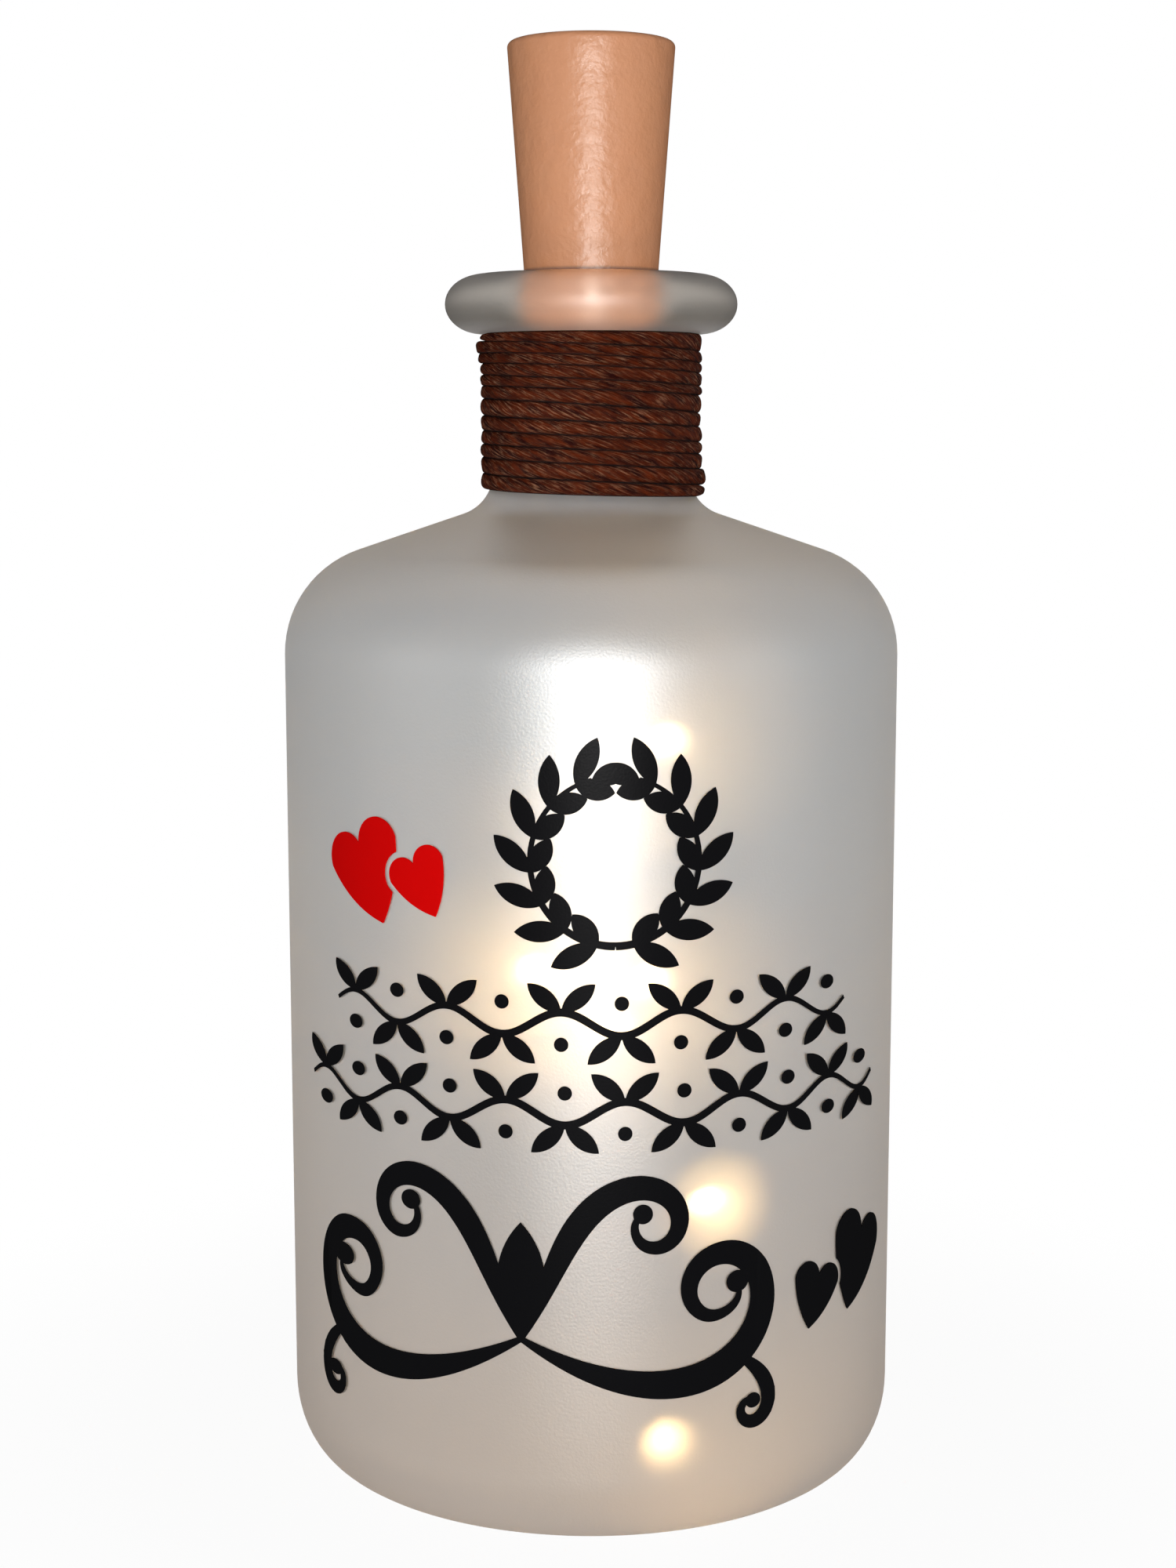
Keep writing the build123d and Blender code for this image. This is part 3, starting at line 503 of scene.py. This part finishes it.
def frosted_coat():
    f = Finish("frosted_coat")
    sparkle = f.noise(3000, 1.0)
    mist = f.noise(60, 3.0, 0.6)
    normal = f.bump(sparkle, 0.3, 0.00007)
    height = f.height()
    low = f.spread(height, 1.0, 0.0, 0.0, warm_top)
    neck = f.spread(height, 0.0, 1.0, neck_low, neck_high)
    rim = f.spread(height, 0.0, 1.0, rim_low, rim_high)
    cool = f.mix(mist, linear(134, 136, 136), linear(148, 150, 150))
    grey = f.mix(f.math("MULTIPLY", low, 0.8), cool, linear(180, 160, 142))
    # Painted light: paler paint near the neck lifts the shade that the cord and rim cast
    grey = f.mix(neck, grey, linear(174, 178, 186))
    grey = f.mix(rim, grey, linear(184, 176, 164))
    paint = f.node("ShaderNodeBsdfDiffuse", {"Color": grey, "Normal": normal}).outputs[0]
    sheen = f.mix(low, linear(246, 248, 250), linear(252, 240, 230))
    pearl = f.node("ShaderNodeBsdfGlossy", {
        "Color": sheen, "Roughness": 0.45, "Normal": normal,
    }, distribution="BECKMANN").outputs[0]
    through = f.node("ShaderNodeBsdfTranslucent", {"Color": linear(226, 228, 230)}).outputs[0]
    blurred = f.node("ShaderNodeBsdfRefraction", {
        "Color": linear(230, 230, 228), "Roughness": 0.85, "IOR": 1.2, "Normal": normal,
    }).outputs[0]
    body = f.blend(blur_share, f.blend(through_share, paint, through), blurred)
    lip = f.node("ShaderNodeBsdfRefraction", {
        "Color": linear(255, 250, 244), "Roughness": 0.42, "IOR": 1.3, "Normal": normal,
    }, distribution="BECKMANN").outputs[0]
    collar = f.blend(lip_share, paint, lip)
    sheen_share = f.spread(rim, f.spread(neck, wall_sheen, neck_sheen), rim_sheen)
    from_inside = f.node("ShaderNodeNewGeometry").outputs["Backfacing"]
    sheen_share = f.math("MULTIPLY", sheen_share, f.math("SUBTRACT", 1.0, from_inside))
    coat = f.blend(sheen_share, f.blend(rim, body, collar), pearl)
    open_to_light = f.node("ShaderNodeBsdfTransparent", {"Color": linear(238, 236, 232)}).outputs[0]
    shade = f.node("ShaderNodeLightPath").outputs["Is Shadow Ray"]
    passes = f.math("ADD", wall_passes, f.math("MULTIPLY", rim, rim_passes_more))
    return f.finish(f.blend(f.math("MULTIPLY", shade, passes), coat, open_to_light))


def clear_inside():
    f = Finish("clear_inside")
    clear = f.node("ShaderNodeBsdfTransparent", {"Color": (0.97, 0.97, 0.97, 1)}).outputs[0]
    shine = f.node("ShaderNodeBsdfGlossy", {"Color": (1, 1, 1, 1), "Roughness": 0.1}).outputs[0]
    edge = f.node("ShaderNodeFresnel", {"IOR": 1.2}).outputs[0]
    return f.finish(f.blend(edge, clear, shine))


wear(glass_bottle, frosted_coat(), clear_inside())
for face in glass_bottle.data.polygons:
    face.material_index = int(faces_inside(face.center, face.normal))
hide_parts("bottle_glass")
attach(glass_bottle, "bottle")
print("bottle faces inside:", sum(face.material_index for face in glass_bottle.data.polygons))

# %% [markdown]
# ## Waxed cord on the neck
# One dark, waxed cord is wound eleven and a half times round the neck. It is flattened against the
# glass, and its three yarns twist along it. A section with three low lobes is carried along the rising
# coil, turning as it goes; small seeded drifts in its width and height keep the rows as uneven as hand
# work. Its ends are tucked under, so the rows over them bulge, at the left above and the right below.

# %% Cord's measures, in mm; shares of its size where no length is meant
cord_low, cord_high, cord_turns = 133.5, 155.28, 11.5
cord_out, cord_lay, cord_lean, cord_seat, cord_gap, cord_overlap = 0.72, 17.0, 0.36, 0.1, 0.03, 0.05
cord_yarns, cord_lobe, cord_fray, cord_swell, cord_drifts = 3, 0.08, 0.03, 0.12, 110
cord_flat_out, cord_flat_up = 0.82, 0.85
cord_sides, cord_step, uv_length = 20, 0.4, 10
cord_end_size, cord_end_growth = 0.45, 10
cord_tuck, cord_tuck_reach = 0.75, 0.055
cord_tucks = ((cord_turns, 0.5), (cord_turns - 1, 1), (cord_turns - 2, 0.5), (0, 0.5), (1, 0.8))


def neck_surface(height):
    """Radius of the glass behind the cord, in mm."""
    centre_radius = neck_radius + neck_round
    centre_height = slope_height(centre_radius) + neck_round / math.cos(math.radians(slope_degrees))
    drop = max(centre_height - height, 0)
    return centre_radius - math.sqrt(neck_round**2 - drop**2)


def drift(seed, count, spread):
    """Smooth random values: a few seeded points with an eased line between them."""
    source = random.Random(seed)
    marks = [source.uniform(-spread, spread) for _ in range(count + 2)]

    def value(share):
        share = min(max(share, 0), 1)
        whole = min(int(share * count), count - 1)
        part = share * count - whole
        ease = part * part * (3 - 2 * part)
        return marks[whole] * (1 - ease) + marks[whole + 1] * ease
    return value


# %% Rows: some turns lie wider than others, read from the photo from the lowest up
row_widths = (1.0, 1.16, 1.2, 0.86, 1.08, 1.12, 1.22, 0.72, 0.92, 0.8, 0.7, 1.22)
row_scale = (cord_high - cord_low) / sum(row_widths)
row_edges = [cord_low + row_scale * sum(row_widths[:row]) for row in range(len(row_widths) + 1)]
row_wave = drift(seed=21, count=34, spread=0.13)
row_calm = 0.8


def row_edge(turns):
    """Height of the cord's lower edge after so many turns; its upper edge is one turn further on."""
    place = min(max(turns, 0), len(row_widths))
    whole = min(int(place), len(row_widths) - 1)
    height = row_edges[whole] + (row_edges[whole + 1] - row_edges[whole]) * (place - whole)
    inside = min(1, row_calm * min(place, len(row_widths) - place))
    lean = cord_lean * math.cos(2 * math.pi * turns)
    return height + inside * (row_wave(place / len(row_widths)) - lean)


# %% Cord's mesh
def box_round(value, power):
    """A sine or cosine pressed towards a square, for a flattened section."""
    return math.copysign(abs(value) ** power, value)


def wound_cord(name):
    """Carries the lobed section along the coil, with the fibres' direction kept as its UV map."""
    length = 2 * math.pi * (neck_radius + cord_out) * cord_turns
    rings = int(length / cord_step)
    size, out, fray = (drift(seed, cord_drifts, 1) for seed in (8, 13, 34))
    mesh = bmesh.new()
    uv = mesh.loops.layers.uv.new("along")
    rows = []
    for ring in range(rings + 1):
        share = ring / rings
        turns = cord_turns * share
        turn = 2 * math.pi * turns
        low, high = row_edge(turns), row_edge(turns + 1)
        height = (low + high) / 2
        end = min(1, cord_end_growth * min(share, 1 - share) * cord_turns + cord_end_size)
        tall = ((high - low) / 2 + cord_overlap) * end
        deep = cord_out * (1 + cord_swell * size(share)) * end
        tuck = sum(
            part * math.exp(-(((turns - place) / cord_tuck_reach) ** 2)) for place, part in cord_tucks
        )
        middle = neck_surface(height) + cord_seat + cord_out + cord_seat * (out(share) + 1)
        middle += cord_tuck * tuck
        twist = 2 * math.pi * share * length / cord_lay
        row = []
        for side in range(cord_sides):
            angle = math.pi + 2 * math.pi * side / cord_sides
            lobe = 1 + cord_lobe * math.cos(cord_yarns * (angle - twist))
            lobe += cord_fray * fray(share) * math.sin(2 * angle)
            reach = middle + deep * lobe * box_round(math.cos(angle), cord_flat_out)
            reach = max(reach, neck_surface(height) + cord_gap)
            rise = tall * box_round(math.sin(angle), cord_flat_up)
            row.append(mesh.verts.new(Vector((
                reach * math.cos(turn), -reach * math.sin(turn), height + rise,
            )) * MM))
        rows.append(row)
    for ring, (near, far) in enumerate(zip(rows, rows[1:])):
        for side in range(cord_sides):
            after = (side + 1) % cord_sides
            face = mesh.faces.new((near[side], near[after], far[after], far[side]))
            for loop, (step, edge) in zip(face.loops, ((0, 0), (0, 1), (1, 1), (1, 0))):
                loop[uv].uv = ((ring + step) * cord_step / uv_length, (side + edge) / cord_sides)
    for row in (rows[0], rows[-1]):
        mesh.faces.new(row)
    bmesh.ops.recalc_face_normals(mesh, faces=mesh.faces)
    data = bpy.data.meshes.new(name)
    mesh.to_mesh(data)
    mesh.free()
    obj = bpy.data.objects.new(name, data)
    bpy.context.collection.objects.link(obj)
    return obj


neck_cord = done(wound_cord("neck_cord"), angle=80)
print("neck cord faces:", len(neck_cord.data.polygons))

# %% [markdown]
# ## Waxed fibre
# The yarns are dark red-brown with paler fibres where the wax has rubbed off. Away from the cord's
# outer side, in the grooves between the rows and against the glass, the colour is painted nearly black
# as shade. Streaks lie at a slant along the cord, so the pattern reads the UV map, where u runs along
# the cord and v round it, with 0.5 on its outer side.

# %% Waxed fibre
def waxed_fibre():
    f = Finish("waxed_fibre")
    uv = f.node("ShaderNodeUVMap", uv_map="along").outputs["UV"]
    split = f.node("ShaderNodeSeparateXYZ", {0: uv})
    along, about = split.outputs["X"], split.outputs["Y"]
    slant = f.math("SUBTRACT", about, f.math("MULTIPLY", along, uv_length / cord_lay))
    lay = f.node("ShaderNodeCombineXYZ", {"X": along, "Y": slant}).outputs[0]
    fibres = f.noise(1.0, 5.0, 0.66, f.mapped((5.0, 30.0, 1.0), lay))
    strands = f.noise(1.0, 3.0, 0.6, f.mapped((2.6, 8.0, 1.0), lay))
    patches = f.noise(1.5, 3.0, 0.6, uv)
    dark = f.mix(f.ramp(strands, 0.38, 0.62), linear(54, 6, 0), linear(120, 46, 14))
    pale = f.math("MULTIPLY", f.ramp(fibres, 0.50, 0.72), f.ramp(patches, 0.38, 0.62, start=0.25))
    colour = f.mix(pale, dark, linear(224, 162, 124))
    # Painted shade: the top, underside and inner side of the cord, where the rows meet, go nearly black
    painted_groove_shade = f.ramp(f.math("ABSOLUTE", f.math("SUBTRACT", about, 0.5)), 0.12, 0.20)
    colour = f.mix(painted_groove_shade, colour, linear(6, 0, 0))
    height = f.math("ADD", f.math("MULTIPLY", strands, 1.6), fibres)
    rough = f.spread(fibres, 0.24, 0.42)
    return f.finish(f.satin(
        colour, f.bump(height, 1.0, 0.0008), gloss=0.018, roughness=rough, edge_gloss=0.0
    ))


wear(neck_cord, waxed_fibre())
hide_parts("neck_twine")
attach(neck_cord, "bottle")

# %% [markdown]
# ## Film decoration
# The hearts and ornaments are cut from thin adhesive film: a flat colour with crisp edges that follows
# the bottle's curve. The solids have the right outlines, so each is copied and merged, its long faces
# are divided, and every point is set to the film's own two radii, which makes the gloss run true.

# %% Film pieces
film_inside, film_outside = 42.04, 42.19
film_edge, film_turn, film_rounds, film_weld = 1.6, 0.02, 3, MM / 500


def film_copy(node, name):
    """A merged copy of a film solid, bent truly round the bottle."""
    source = nodes[node]
    obj = bpy.data.objects.new(name, source.data.copy())
    obj.data.name = name
    bpy.context.collection.objects.link(obj)
    choose(obj)
    bpy.ops.mesh.customdata_custom_splitnormals_clear()
    edit(obj, "EDGE")
    bpy.ops.mesh.select_all(action="SELECT")
    bpy.ops.mesh.remove_doubles(threshold=film_weld)
    mesh = bmesh.from_edit_mesh(obj.data)
    for _ in range(film_rounds):
        long_edges = []
        for edge in mesh.edges:
            here, there = (vertex.co.xy.normalized() for vertex in edge.verts)
            if edge.calc_length() > film_edge * MM and (here - there).length > film_turn:
                long_edges.append(edge)
        bmesh.ops.subdivide_edges(mesh, edges=long_edges, cuts=1)
        bmesh.ops.triangulate(mesh, faces=[face for face in mesh.faces if len(face.verts) > 3])
    for vertex in mesh.verts:
        outer = vertex.co.xy.length > (film_inside + film_outside) / 2 * MM
        vertex.co.xy = vertex.co.xy.normalized() * (film_outside if outer else film_inside) * MM
    bmesh.update_edit_mesh(obj.data)
    return done(obj, angle=40)


film_names = {
    "heart_red_large": "red_heart_large", "heart_red_small": "red_heart_small",
    "heart_black_large": "black_heart_large", "heart_black_small": "black_heart_small",
    "wreath_film": "leaf_wreath", "vine_film_upper": "upper_vine", "vine_film_lower": "lower_vine",
    "scroll_film": "scroll_ornament",
}
films = {node: film_copy(node, name) for node, name in film_names.items()}
print("film pieces:", len(films), "triangles:", sum(len(f.data.polygons) for f in films.values()))

# %% [markdown]
# ## Film finish
# Cut film is smooth and evenly coloured, with a faint stipple from the frosted coat beneath it.

# %% Film finish
def film_finish(name, colour, worn, roughness):
    f = Finish(name)
    cloud = f.noise(90, 3.0, 0.6)
    stipple = f.noise(3600, 1.0)
    tone = f.mix(f.math("MULTIPLY", cloud, 0.5), colour, worn)
    return f.finish(f.satin(
        tone, f.bump(stipple, 0.35, 0.00004), gloss=0.005, roughness=roughness
    ))


red_film = film_finish("red_film", linear(222, 0, 0), linear(212, 1, 1), 0.37)
black_film = film_finish("black_film", linear(1, 1, 3), linear(3, 3, 5), 0.36)
for node, film in films.items():
    is_red = "red" in node
    wear(film, red_film if is_red else black_film)
    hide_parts(node)
    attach(film, "bottle")

# %% [markdown]
# ## Cork-shaped case
# The case is moulded plastic made to look like a cork: a tapered cup with a recess for its cap, four
# ribs inside that hold the battery tube, and softly rounded rims. It is turned like the bottle.

# %% Case
case_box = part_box("cork_case")
cork_bottom, cork_top = case_box[0].z / MM, case_box[1].z / MM
cork_top_radius, cork_bottom_radius, case_wall, case_floor = 11.3, 8.0, 1.5, 2.0
cap_recess_radius, cap_recess_depth, grommet_radius = 10.0, 2.0, 1.6
bottom_round, top_round, recess_round, past_round = 0.5, 0.8, 0.15, 0.4
case_steps, case_round_steps, case_rings = 128, 8, 24


def case_radius(height):
    """Outside radius of the case at a height, in mm."""
    share = (height - cork_bottom) / (cork_top - cork_bottom)
    return cork_bottom_radius + (cork_top_radius - cork_bottom_radius) * share


floor_top, ledge = cork_bottom + case_floor, cork_top - cap_recess_depth
case_side = rounded([
    (grommet_radius, cork_bottom, 0),
    (cork_bottom_radius, cork_bottom, bottom_round),
    (cork_top_radius, cork_top, top_round),
    (cap_recess_radius, cork_top, recess_round),
    (cap_recess_radius, ledge, 0),
], case_round_steps)
side_start = next(i for i, point in enumerate(case_side) if point[1] > cork_bottom + past_round)
case_profile = (
    case_side[:side_start + 1]
    + long_run(case_side[side_start], case_side[side_start + 1], case_rings)
    + case_side[side_start + 1:]
    + [(case_radius(ledge) - case_wall, ledge), (case_radius(floor_top) - case_wall, floor_top)]
    + [(grommet_radius, floor_top)]
)
cork_shell = turned_shape("cork_shell", case_profile, case_steps, closed=True)
print("case profile points:", len(case_profile))

# %% Ribs inside the case
tube_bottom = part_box("battery_tube")[0].z / MM
rib_inner, rib_thickness, rib_sink, rib_bevel, case_smooth = 5.95, 1.0, 0.4, 0.12, 35
rib_outer = case_radius(floor_top) - case_wall + rib_sink
done(cork_shell, case_smooth)
ribs = []
for quarter in range(4):
    rib = block_shape("case_rib", (rib_outer - rib_inner, rib_thickness, tube_bottom - floor_top))
    bpy.ops.transform.translate(
        value=((rib_outer + rib_inner) / 2 * MM, 0, (tube_bottom + floor_top) / 2 * MM)
    )
    bpy.ops.mesh.bevel(offset=rib_bevel * MM, segments=2)
    bpy.ops.mesh.select_all(action="SELECT")
    bpy.ops.transform.rotate(
        value=math.radians(45 + 90 * quarter), orient_axis="Z", center_override=(0, 0, 0)
    )
    ribs.append(done(rib))
join([cork_shell, *ribs])
print("case faces:", len(cork_shell.data.polygons))

# %% [markdown]
# ## Cap of the case
# The cap closes the case's top and slides out to change the cells. Its disc is turned, then a slot for
# the switch and a half-round thumbnail notch at the back are cut with booleans.

# %% Cap
cap_radius, cap_thickness, skirt_depth, skirt_wall, skirt_gap = 9.93, 2.0, 5.0, 1.2, 0.3
slot_size, slot_round, notch_size, notch_round = (4.5, 2.3, 6), 0.12, (3.0, 2.0, 6), 0.9
cap_steps, cap_round_steps = 96, 5
cap_low = cork_top - cap_thickness
skirt_outer = case_radius(cap_low - skirt_depth) - case_wall - skirt_gap
cap_profile = rounded([
    (0, cap_low, 0), (skirt_outer - skirt_wall, cap_low, 0),
    (skirt_outer - skirt_wall, cap_low - skirt_depth, 0.15),
    (skirt_outer, cap_low - skirt_depth, 0.3), (skirt_outer, cap_low, 0),
    (cap_radius, cap_low, 0.1), (cap_radius, cork_top, 0.3), (0, cork_top, 0),
], cap_round_steps)
cork_lid = turned_shape("cork_lid", cap_profile, cap_steps)
done(cork_lid, case_smooth)


def cutter(name, size, place, round_ends):
    """A box with its upright edges rounded, that is cut out of another piece."""
    block = block_shape(name, size)
    bpy.ops.mesh.select_all(action="DESELECT")
    mesh = bmesh.from_edit_mesh(block.data)
    for edge in mesh.edges:
        ends = [vertex.co for vertex in edge.verts]
        edge.select_set(abs(ends[0].z - ends[1].z) > MM)
    bmesh.update_edit_mesh(block.data)
    bpy.ops.mesh.bevel(offset=round_ends * MM, segments=8)
    bpy.ops.mesh.select_all(action="SELECT")
    bpy.ops.transform.translate(value=[length * MM for length in place])
    return done(block)


for block in (
    cutter("slot_cutter", slot_size, (0, 0, cork_top), slot_round),
    cutter("notch_cutter", notch_size, (0, cap_radius, cork_top), notch_round),
):
    choose(cork_lid)
    cut = cork_lid.modifiers.new("cut", "BOOLEAN")
    cut.operation, cut.solver, cut.object = "DIFFERENCE", "EXACT", block
    bpy.ops.object.modifier_apply(modifier=cut.name)
    bpy.data.objects.remove(block)
done(cork_lid, case_smooth)
print("cap faces:", len(cork_lid.data.polygons))

# %% [markdown]
# ## Moulded cork plastic
# The plastic is a warm tan with a satin skin. The mould was textured, so its highlight breaks into a
# mottle, and the colour drifts a little as natural cork's does. Just above the bottle's lip a thin dark
# ring is painted shade: the contact shadow where the cork meets the glass.

# %% Moulded cork plastic
# Painted shade ring where the cork meets the lip: its height above the mouth and width in mm, and its
# strength
lip_shade_above, lip_shade_width, lip_shade_share = 0.45, 0.4, 0.85


def cork_plastic():
    f = Finish("cork_plastic")
    drift_tone = f.noise(110, 4.0, 0.6)
    grain = f.noise(1500, 3.0, 0.6)
    dimple = f.noise(420, 2.0, 0.5)
    tone = f.mix(drift_tone, linear(208, 134, 84), linear(220, 149, 99))
    height = f.math("ADD", f.math("MULTIPLY", grain, 0.4), dimple)
    rough = f.spread(dimple, 0.34, 0.56)
    # Painted shade: a thin dark band just above the lip, the contact shadow where the cork meets the
    # glass
    off = f.math("ABSOLUTE", f.math("SUBTRACT", f.height(), (mouth_height + lip_shade_above) * MM))
    lip_shade = f.spread(off, lip_shade_share, 0.0, 0.0, lip_shade_width * MM)
    tone = f.mix(lip_shade, tone, linear(92, 46, 22))
    return f.finish(f.satin(
        tone, f.bump(height, 0.7, 0.0003), gloss=0.10, roughness=rough, edge_gloss=0.03
    ))


tan_plastic = cork_plastic()
for piece, node, body in ((cork_shell, "cork_case", "cork"), (cork_lid, "cork_cap", "cap")):
    wear(piece, tan_plastic)
    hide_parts(node)
    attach(piece, body)

# %% [markdown]
# ## Lamps
# Each lamp is a drop of clear resin over a chip that glows warm white. The drop is a sphere drawn out
# along the wire; the chip is a tiny block on the wire's side. Each is modelled once and copied.

# %% Lamps: every 100 mm of the solid wire's 1005.3 mm, as shares of the length
lamp_count, lamp_spacing, drop_width, drop_length = 10, 100.0 / 1005.3, 3.0, 5.5
chip_start, chip_size, chip_bevel = 0.3, (0.7, 0.8, 1.6), 0.08


def along_wire(obj, share, name):
    """A copy of a shape, set on the wire at a share of its length and turned to its direction."""
    place, direction = walk(wire_points, share * wire_length)
    copy = obj.copy()
    copy.data = obj.data.copy()
    copy.name = name
    bpy.context.collection.objects.link(copy)
    copy.rotation_euler = direction.to_track_quat("Z", "X").to_euler()
    copy.location = place
    return copy


def joined(parts, name):
    """Closes copies, joins them into one piece and names it."""
    for part in parts:
        done(part)
    join(parts)
    return named(name)


bpy.ops.object.select_all(action="DESELECT")
bpy.ops.mesh.primitive_uv_sphere_add(segments=24, ring_count=16, radius=0.5)
one_drop = named("one_drop")
edit(one_drop)
bpy.ops.mesh.select_all(action="SELECT")
bpy.ops.transform.resize(value=(drop_width * MM, drop_width * MM, drop_length * MM))
done(one_drop)
one_chip = block_shape("one_chip", chip_size)
bpy.ops.transform.translate(value=((chip_start + chip_size[0] / 2) * MM, 0, 0))
bpy.ops.mesh.bevel(offset=chip_bevel * MM, segments=2)
done(one_chip)
shares = [lamp_spacing * (number + 1) for number in range(lamp_count)]
resin_drops = joined([along_wire(one_drop, share, "drop") for share in shares], "resin_drops")
lamp_chips = joined([along_wire(one_chip, share, "chip") for share in shares], "lamp_chips")
bpy.data.objects.remove(one_drop)
bpy.data.objects.remove(one_chip)
places = [walk(wire_points, share * wire_length)[0] / MM for share in shares]
print("lamps, places in mm:", [tuple(round(v, 1) for v in place) for place in places])

# %% Lamp and wire finishes
def phosphor_finish():
    f = Finish("lamp_phosphor")
    warm = linear(255, 212, 146)
    tone = f.mix(f.noise(2500, 1.0), warm, linear(255, 236, 205))
    return f.finish(f.principled(
        Base_Color=tone, Roughness=0.25, Emission_Color=warm, Emission_Strength=500.0
    ))


def resin_finish():
    f = Finish("clear_resin")
    ripple = f.bump(f.noise(900, 2.0), 0.2, 0.00005)
    clear = f.node("ShaderNodeBsdfTransparent", {"Color": (1, 0.97, 0.9, 1)}).outputs[0]
    shine = f.node("ShaderNodeBsdfGlossy", {"Roughness": 0.08, "Normal": ripple}).outputs[0]
    glow = f.node("ShaderNodeEmission", {"Color": linear(255, 220, 166), "Strength": 30.0}).outputs[0]
    edge = f.node("ShaderNodeFresnel", {"IOR": 1.45}).outputs[0]
    lit = f.blend(0.5, clear, glow)
    return f.finish(f.blend(edge, lit, shine))


def metal(name, dull, bright, roughness, grain):
    """A metal with fine scratches."""
    f = Finish(name)
    scratch = f.noise(grain, 4.0, 0.6, f.mapped((1, 1, 0.15)))
    tone = f.mix(scratch, dull, bright)
    rough = f.spread(scratch, roughness * 0.7, roughness * 1.4)
    return f.finish(f.principled(
        Base_Color=tone, Metallic=1.0, Roughness=rough, Normal=f.bump(scratch, 0.15, 0.00005)
    ))


def plastic(name, first, second, roughness, grain):
    """A moulded plastic or rubber with a fine mould grain."""
    f = Finish(name)
    tone = f.mix(f.noise(grain / 12, 3.0), first, second)
    return f.finish(f.principled(
        Base_Color=tone, Roughness=roughness, Normal=f.bump(f.noise(grain, 2.0), 0.3, 0.00008)
    ))


copper = metal("enamelled_copper", linear(178, 98, 56), linear(222, 142, 92), 0.28, 1800)
wear(string_wire, copper)
wear(resin_drops, resin_finish())
wear(lamp_chips, phosphor_finish())
for piece, node, slot in (
    (string_wire, "light_string", "copper_wire"), (resin_drops, "led_drops", "clear_resin"),
    (lamp_chips, "led_chips", "led_chip"),
):
    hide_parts(node)
    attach(piece, "cork")

# %% [markdown]
# ## Inside the case
# The battery tube, cells, contacts, wires, board and switch keep their exact solids, since their shape
# is right, and get their real finishes: nickel plate, brushed steel, green solder mask, rubber.

# %% Finishes of the inner parts
nickel = metal("nickel_plate", linear(150, 148, 140), linear(205, 203, 196), 0.25, 2400)
steel = metal("cell_steel", linear(160, 161, 165), linear(214, 215, 220), 0.18, 1500)
inner_finishes = {
    nickel: ("spring_plate", "contact_spring", "side_strip", "switch_frame", "contact_plate"),
    steel: ("cell_1", "cell_2", "cell_3", "cell_caps"),
    copper: ("lead_wires",),
    plastic("tube_plastic", linear(205, 178, 150), linear(214, 188, 160), 0.5, 1600): ("battery_tube",),
    plastic("seal_plastic", linear(36, 38, 44), linear(48, 50, 56), 0.35, 2400): ("cell_rings",),
    plastic("grommet_rubber", linear(58, 50, 45), linear(72, 64, 58), 0.75, 1400): ("wire_grommet",),
    plastic("slider_plastic", linear(24, 24, 25), linear(38, 38, 39), 0.45, 2600): ("switch_slider",),
    plastic("solder_mask", linear(30, 96, 58), linear(40, 112, 70), 0.3, 1200): ("cap_board",),
    plastic("resistor_body", linear(30, 30, 32), linear(44, 44, 47), 0.4, 3000): ("limiting_resistor",),
}
for material, members in inner_finishes.items():
    for node in members:
        wear(nodes[node], material)
print("inner parts:", sum(len(members) for members in inner_finishes.values()))

# %% [markdown]
# ## Floor, backdrop and light
# The photo has a plain white ground. A wide pale floor takes the bottle's soft shadow close to it and
# turns pure white further out. Camera rays and mirror rays meet a white sky, rays through the glass a
# paler mix, and all other light from the sky is dim. One small lamp near the camera makes the bright
# streak down the glass, as the flash does. A low lamp stands for the light that the table throws back,
# and two broad lamps fill the sides.

# %% Floor
bpy.ops.object.select_all(action="DESELECT")
bpy.ops.mesh.primitive_plane_add(size=6, location=(0, 0, 0))
floor = named("studio_floor")


def floor_finish():
    f = Finish("floor_white")
    paint = f.node("ShaderNodeBsdfDiffuse", {"Color": (0.8, 0.8, 0.8, 1)}).outputs[0]
    white = f.node("ShaderNodeEmission", {"Color": (1, 1, 1, 1), "Strength": 1.0}).outputs[0]
    away = f.node("ShaderNodeVectorMath", {0: f.place()}, operation="LENGTH").outputs["Value"]
    far = f.spread(away, 0.95, 1.0, 0.05, 0.14, interpolation_type="SMOOTHSTEP")
    return f.finish(f.blend(f.math("MULTIPLY", far, f.seen()[0]), paint, white))


wear(floor, floor_finish())

# %% World
def studio_sky():
    f = Finish("studio_sky", world=True)
    white = f.node("ShaderNodeBackground", {"Color": (1, 1, 1, 1), "Strength": 1.0}).outputs[0]
    dim = f.node("ShaderNodeBackground", {"Color": (0.98, 0.99, 1, 1), "Strength": 0.16}).outputs[0]
    seen, through = f.seen()
    pale = f.math("MULTIPLY", through, 0.42)
    return f.finish(f.blend(f.math("MAXIMUM", seen, pale), dim, white))


bpy.context.scene.world = studio_sky()

# %% Lamps of the studio
def area_lamp(name, place, aim, size, power, colour=(1, 1, 1)):
    """A soft lamp that points at a place."""
    bpy.ops.object.light_add(type="AREA", location=place)
    lamp = bpy.context.object
    lamp.name = name
    lamp.data.shape = "DISK"
    lamp.data.size, lamp.data.energy, lamp.data.color = size, power, colour
    lamp.rotation_euler = (Vector(aim) - Vector(place)).to_track_quat("-Z", "Y").to_euler()


area_lamp(
    "flash", (0.012, -0.38, 0.122), (0, 0, 0.10), size=0.06, power=0.72, colour=(1.0, 0.99, 0.97)
)
area_lamp("table_bounce", (0.0, -0.24, 0.004), (0, 0, 0.02), size=0.10, power=0.05)
area_lamp("soft_left", (-0.8, -0.5, 0.05), (0, 0, 0.06), size=0.8, power=0.80)
area_lamp("soft_right", (0.8, -0.5, 0.05), (0, 0, 0.06), size=0.8, power=0.77)
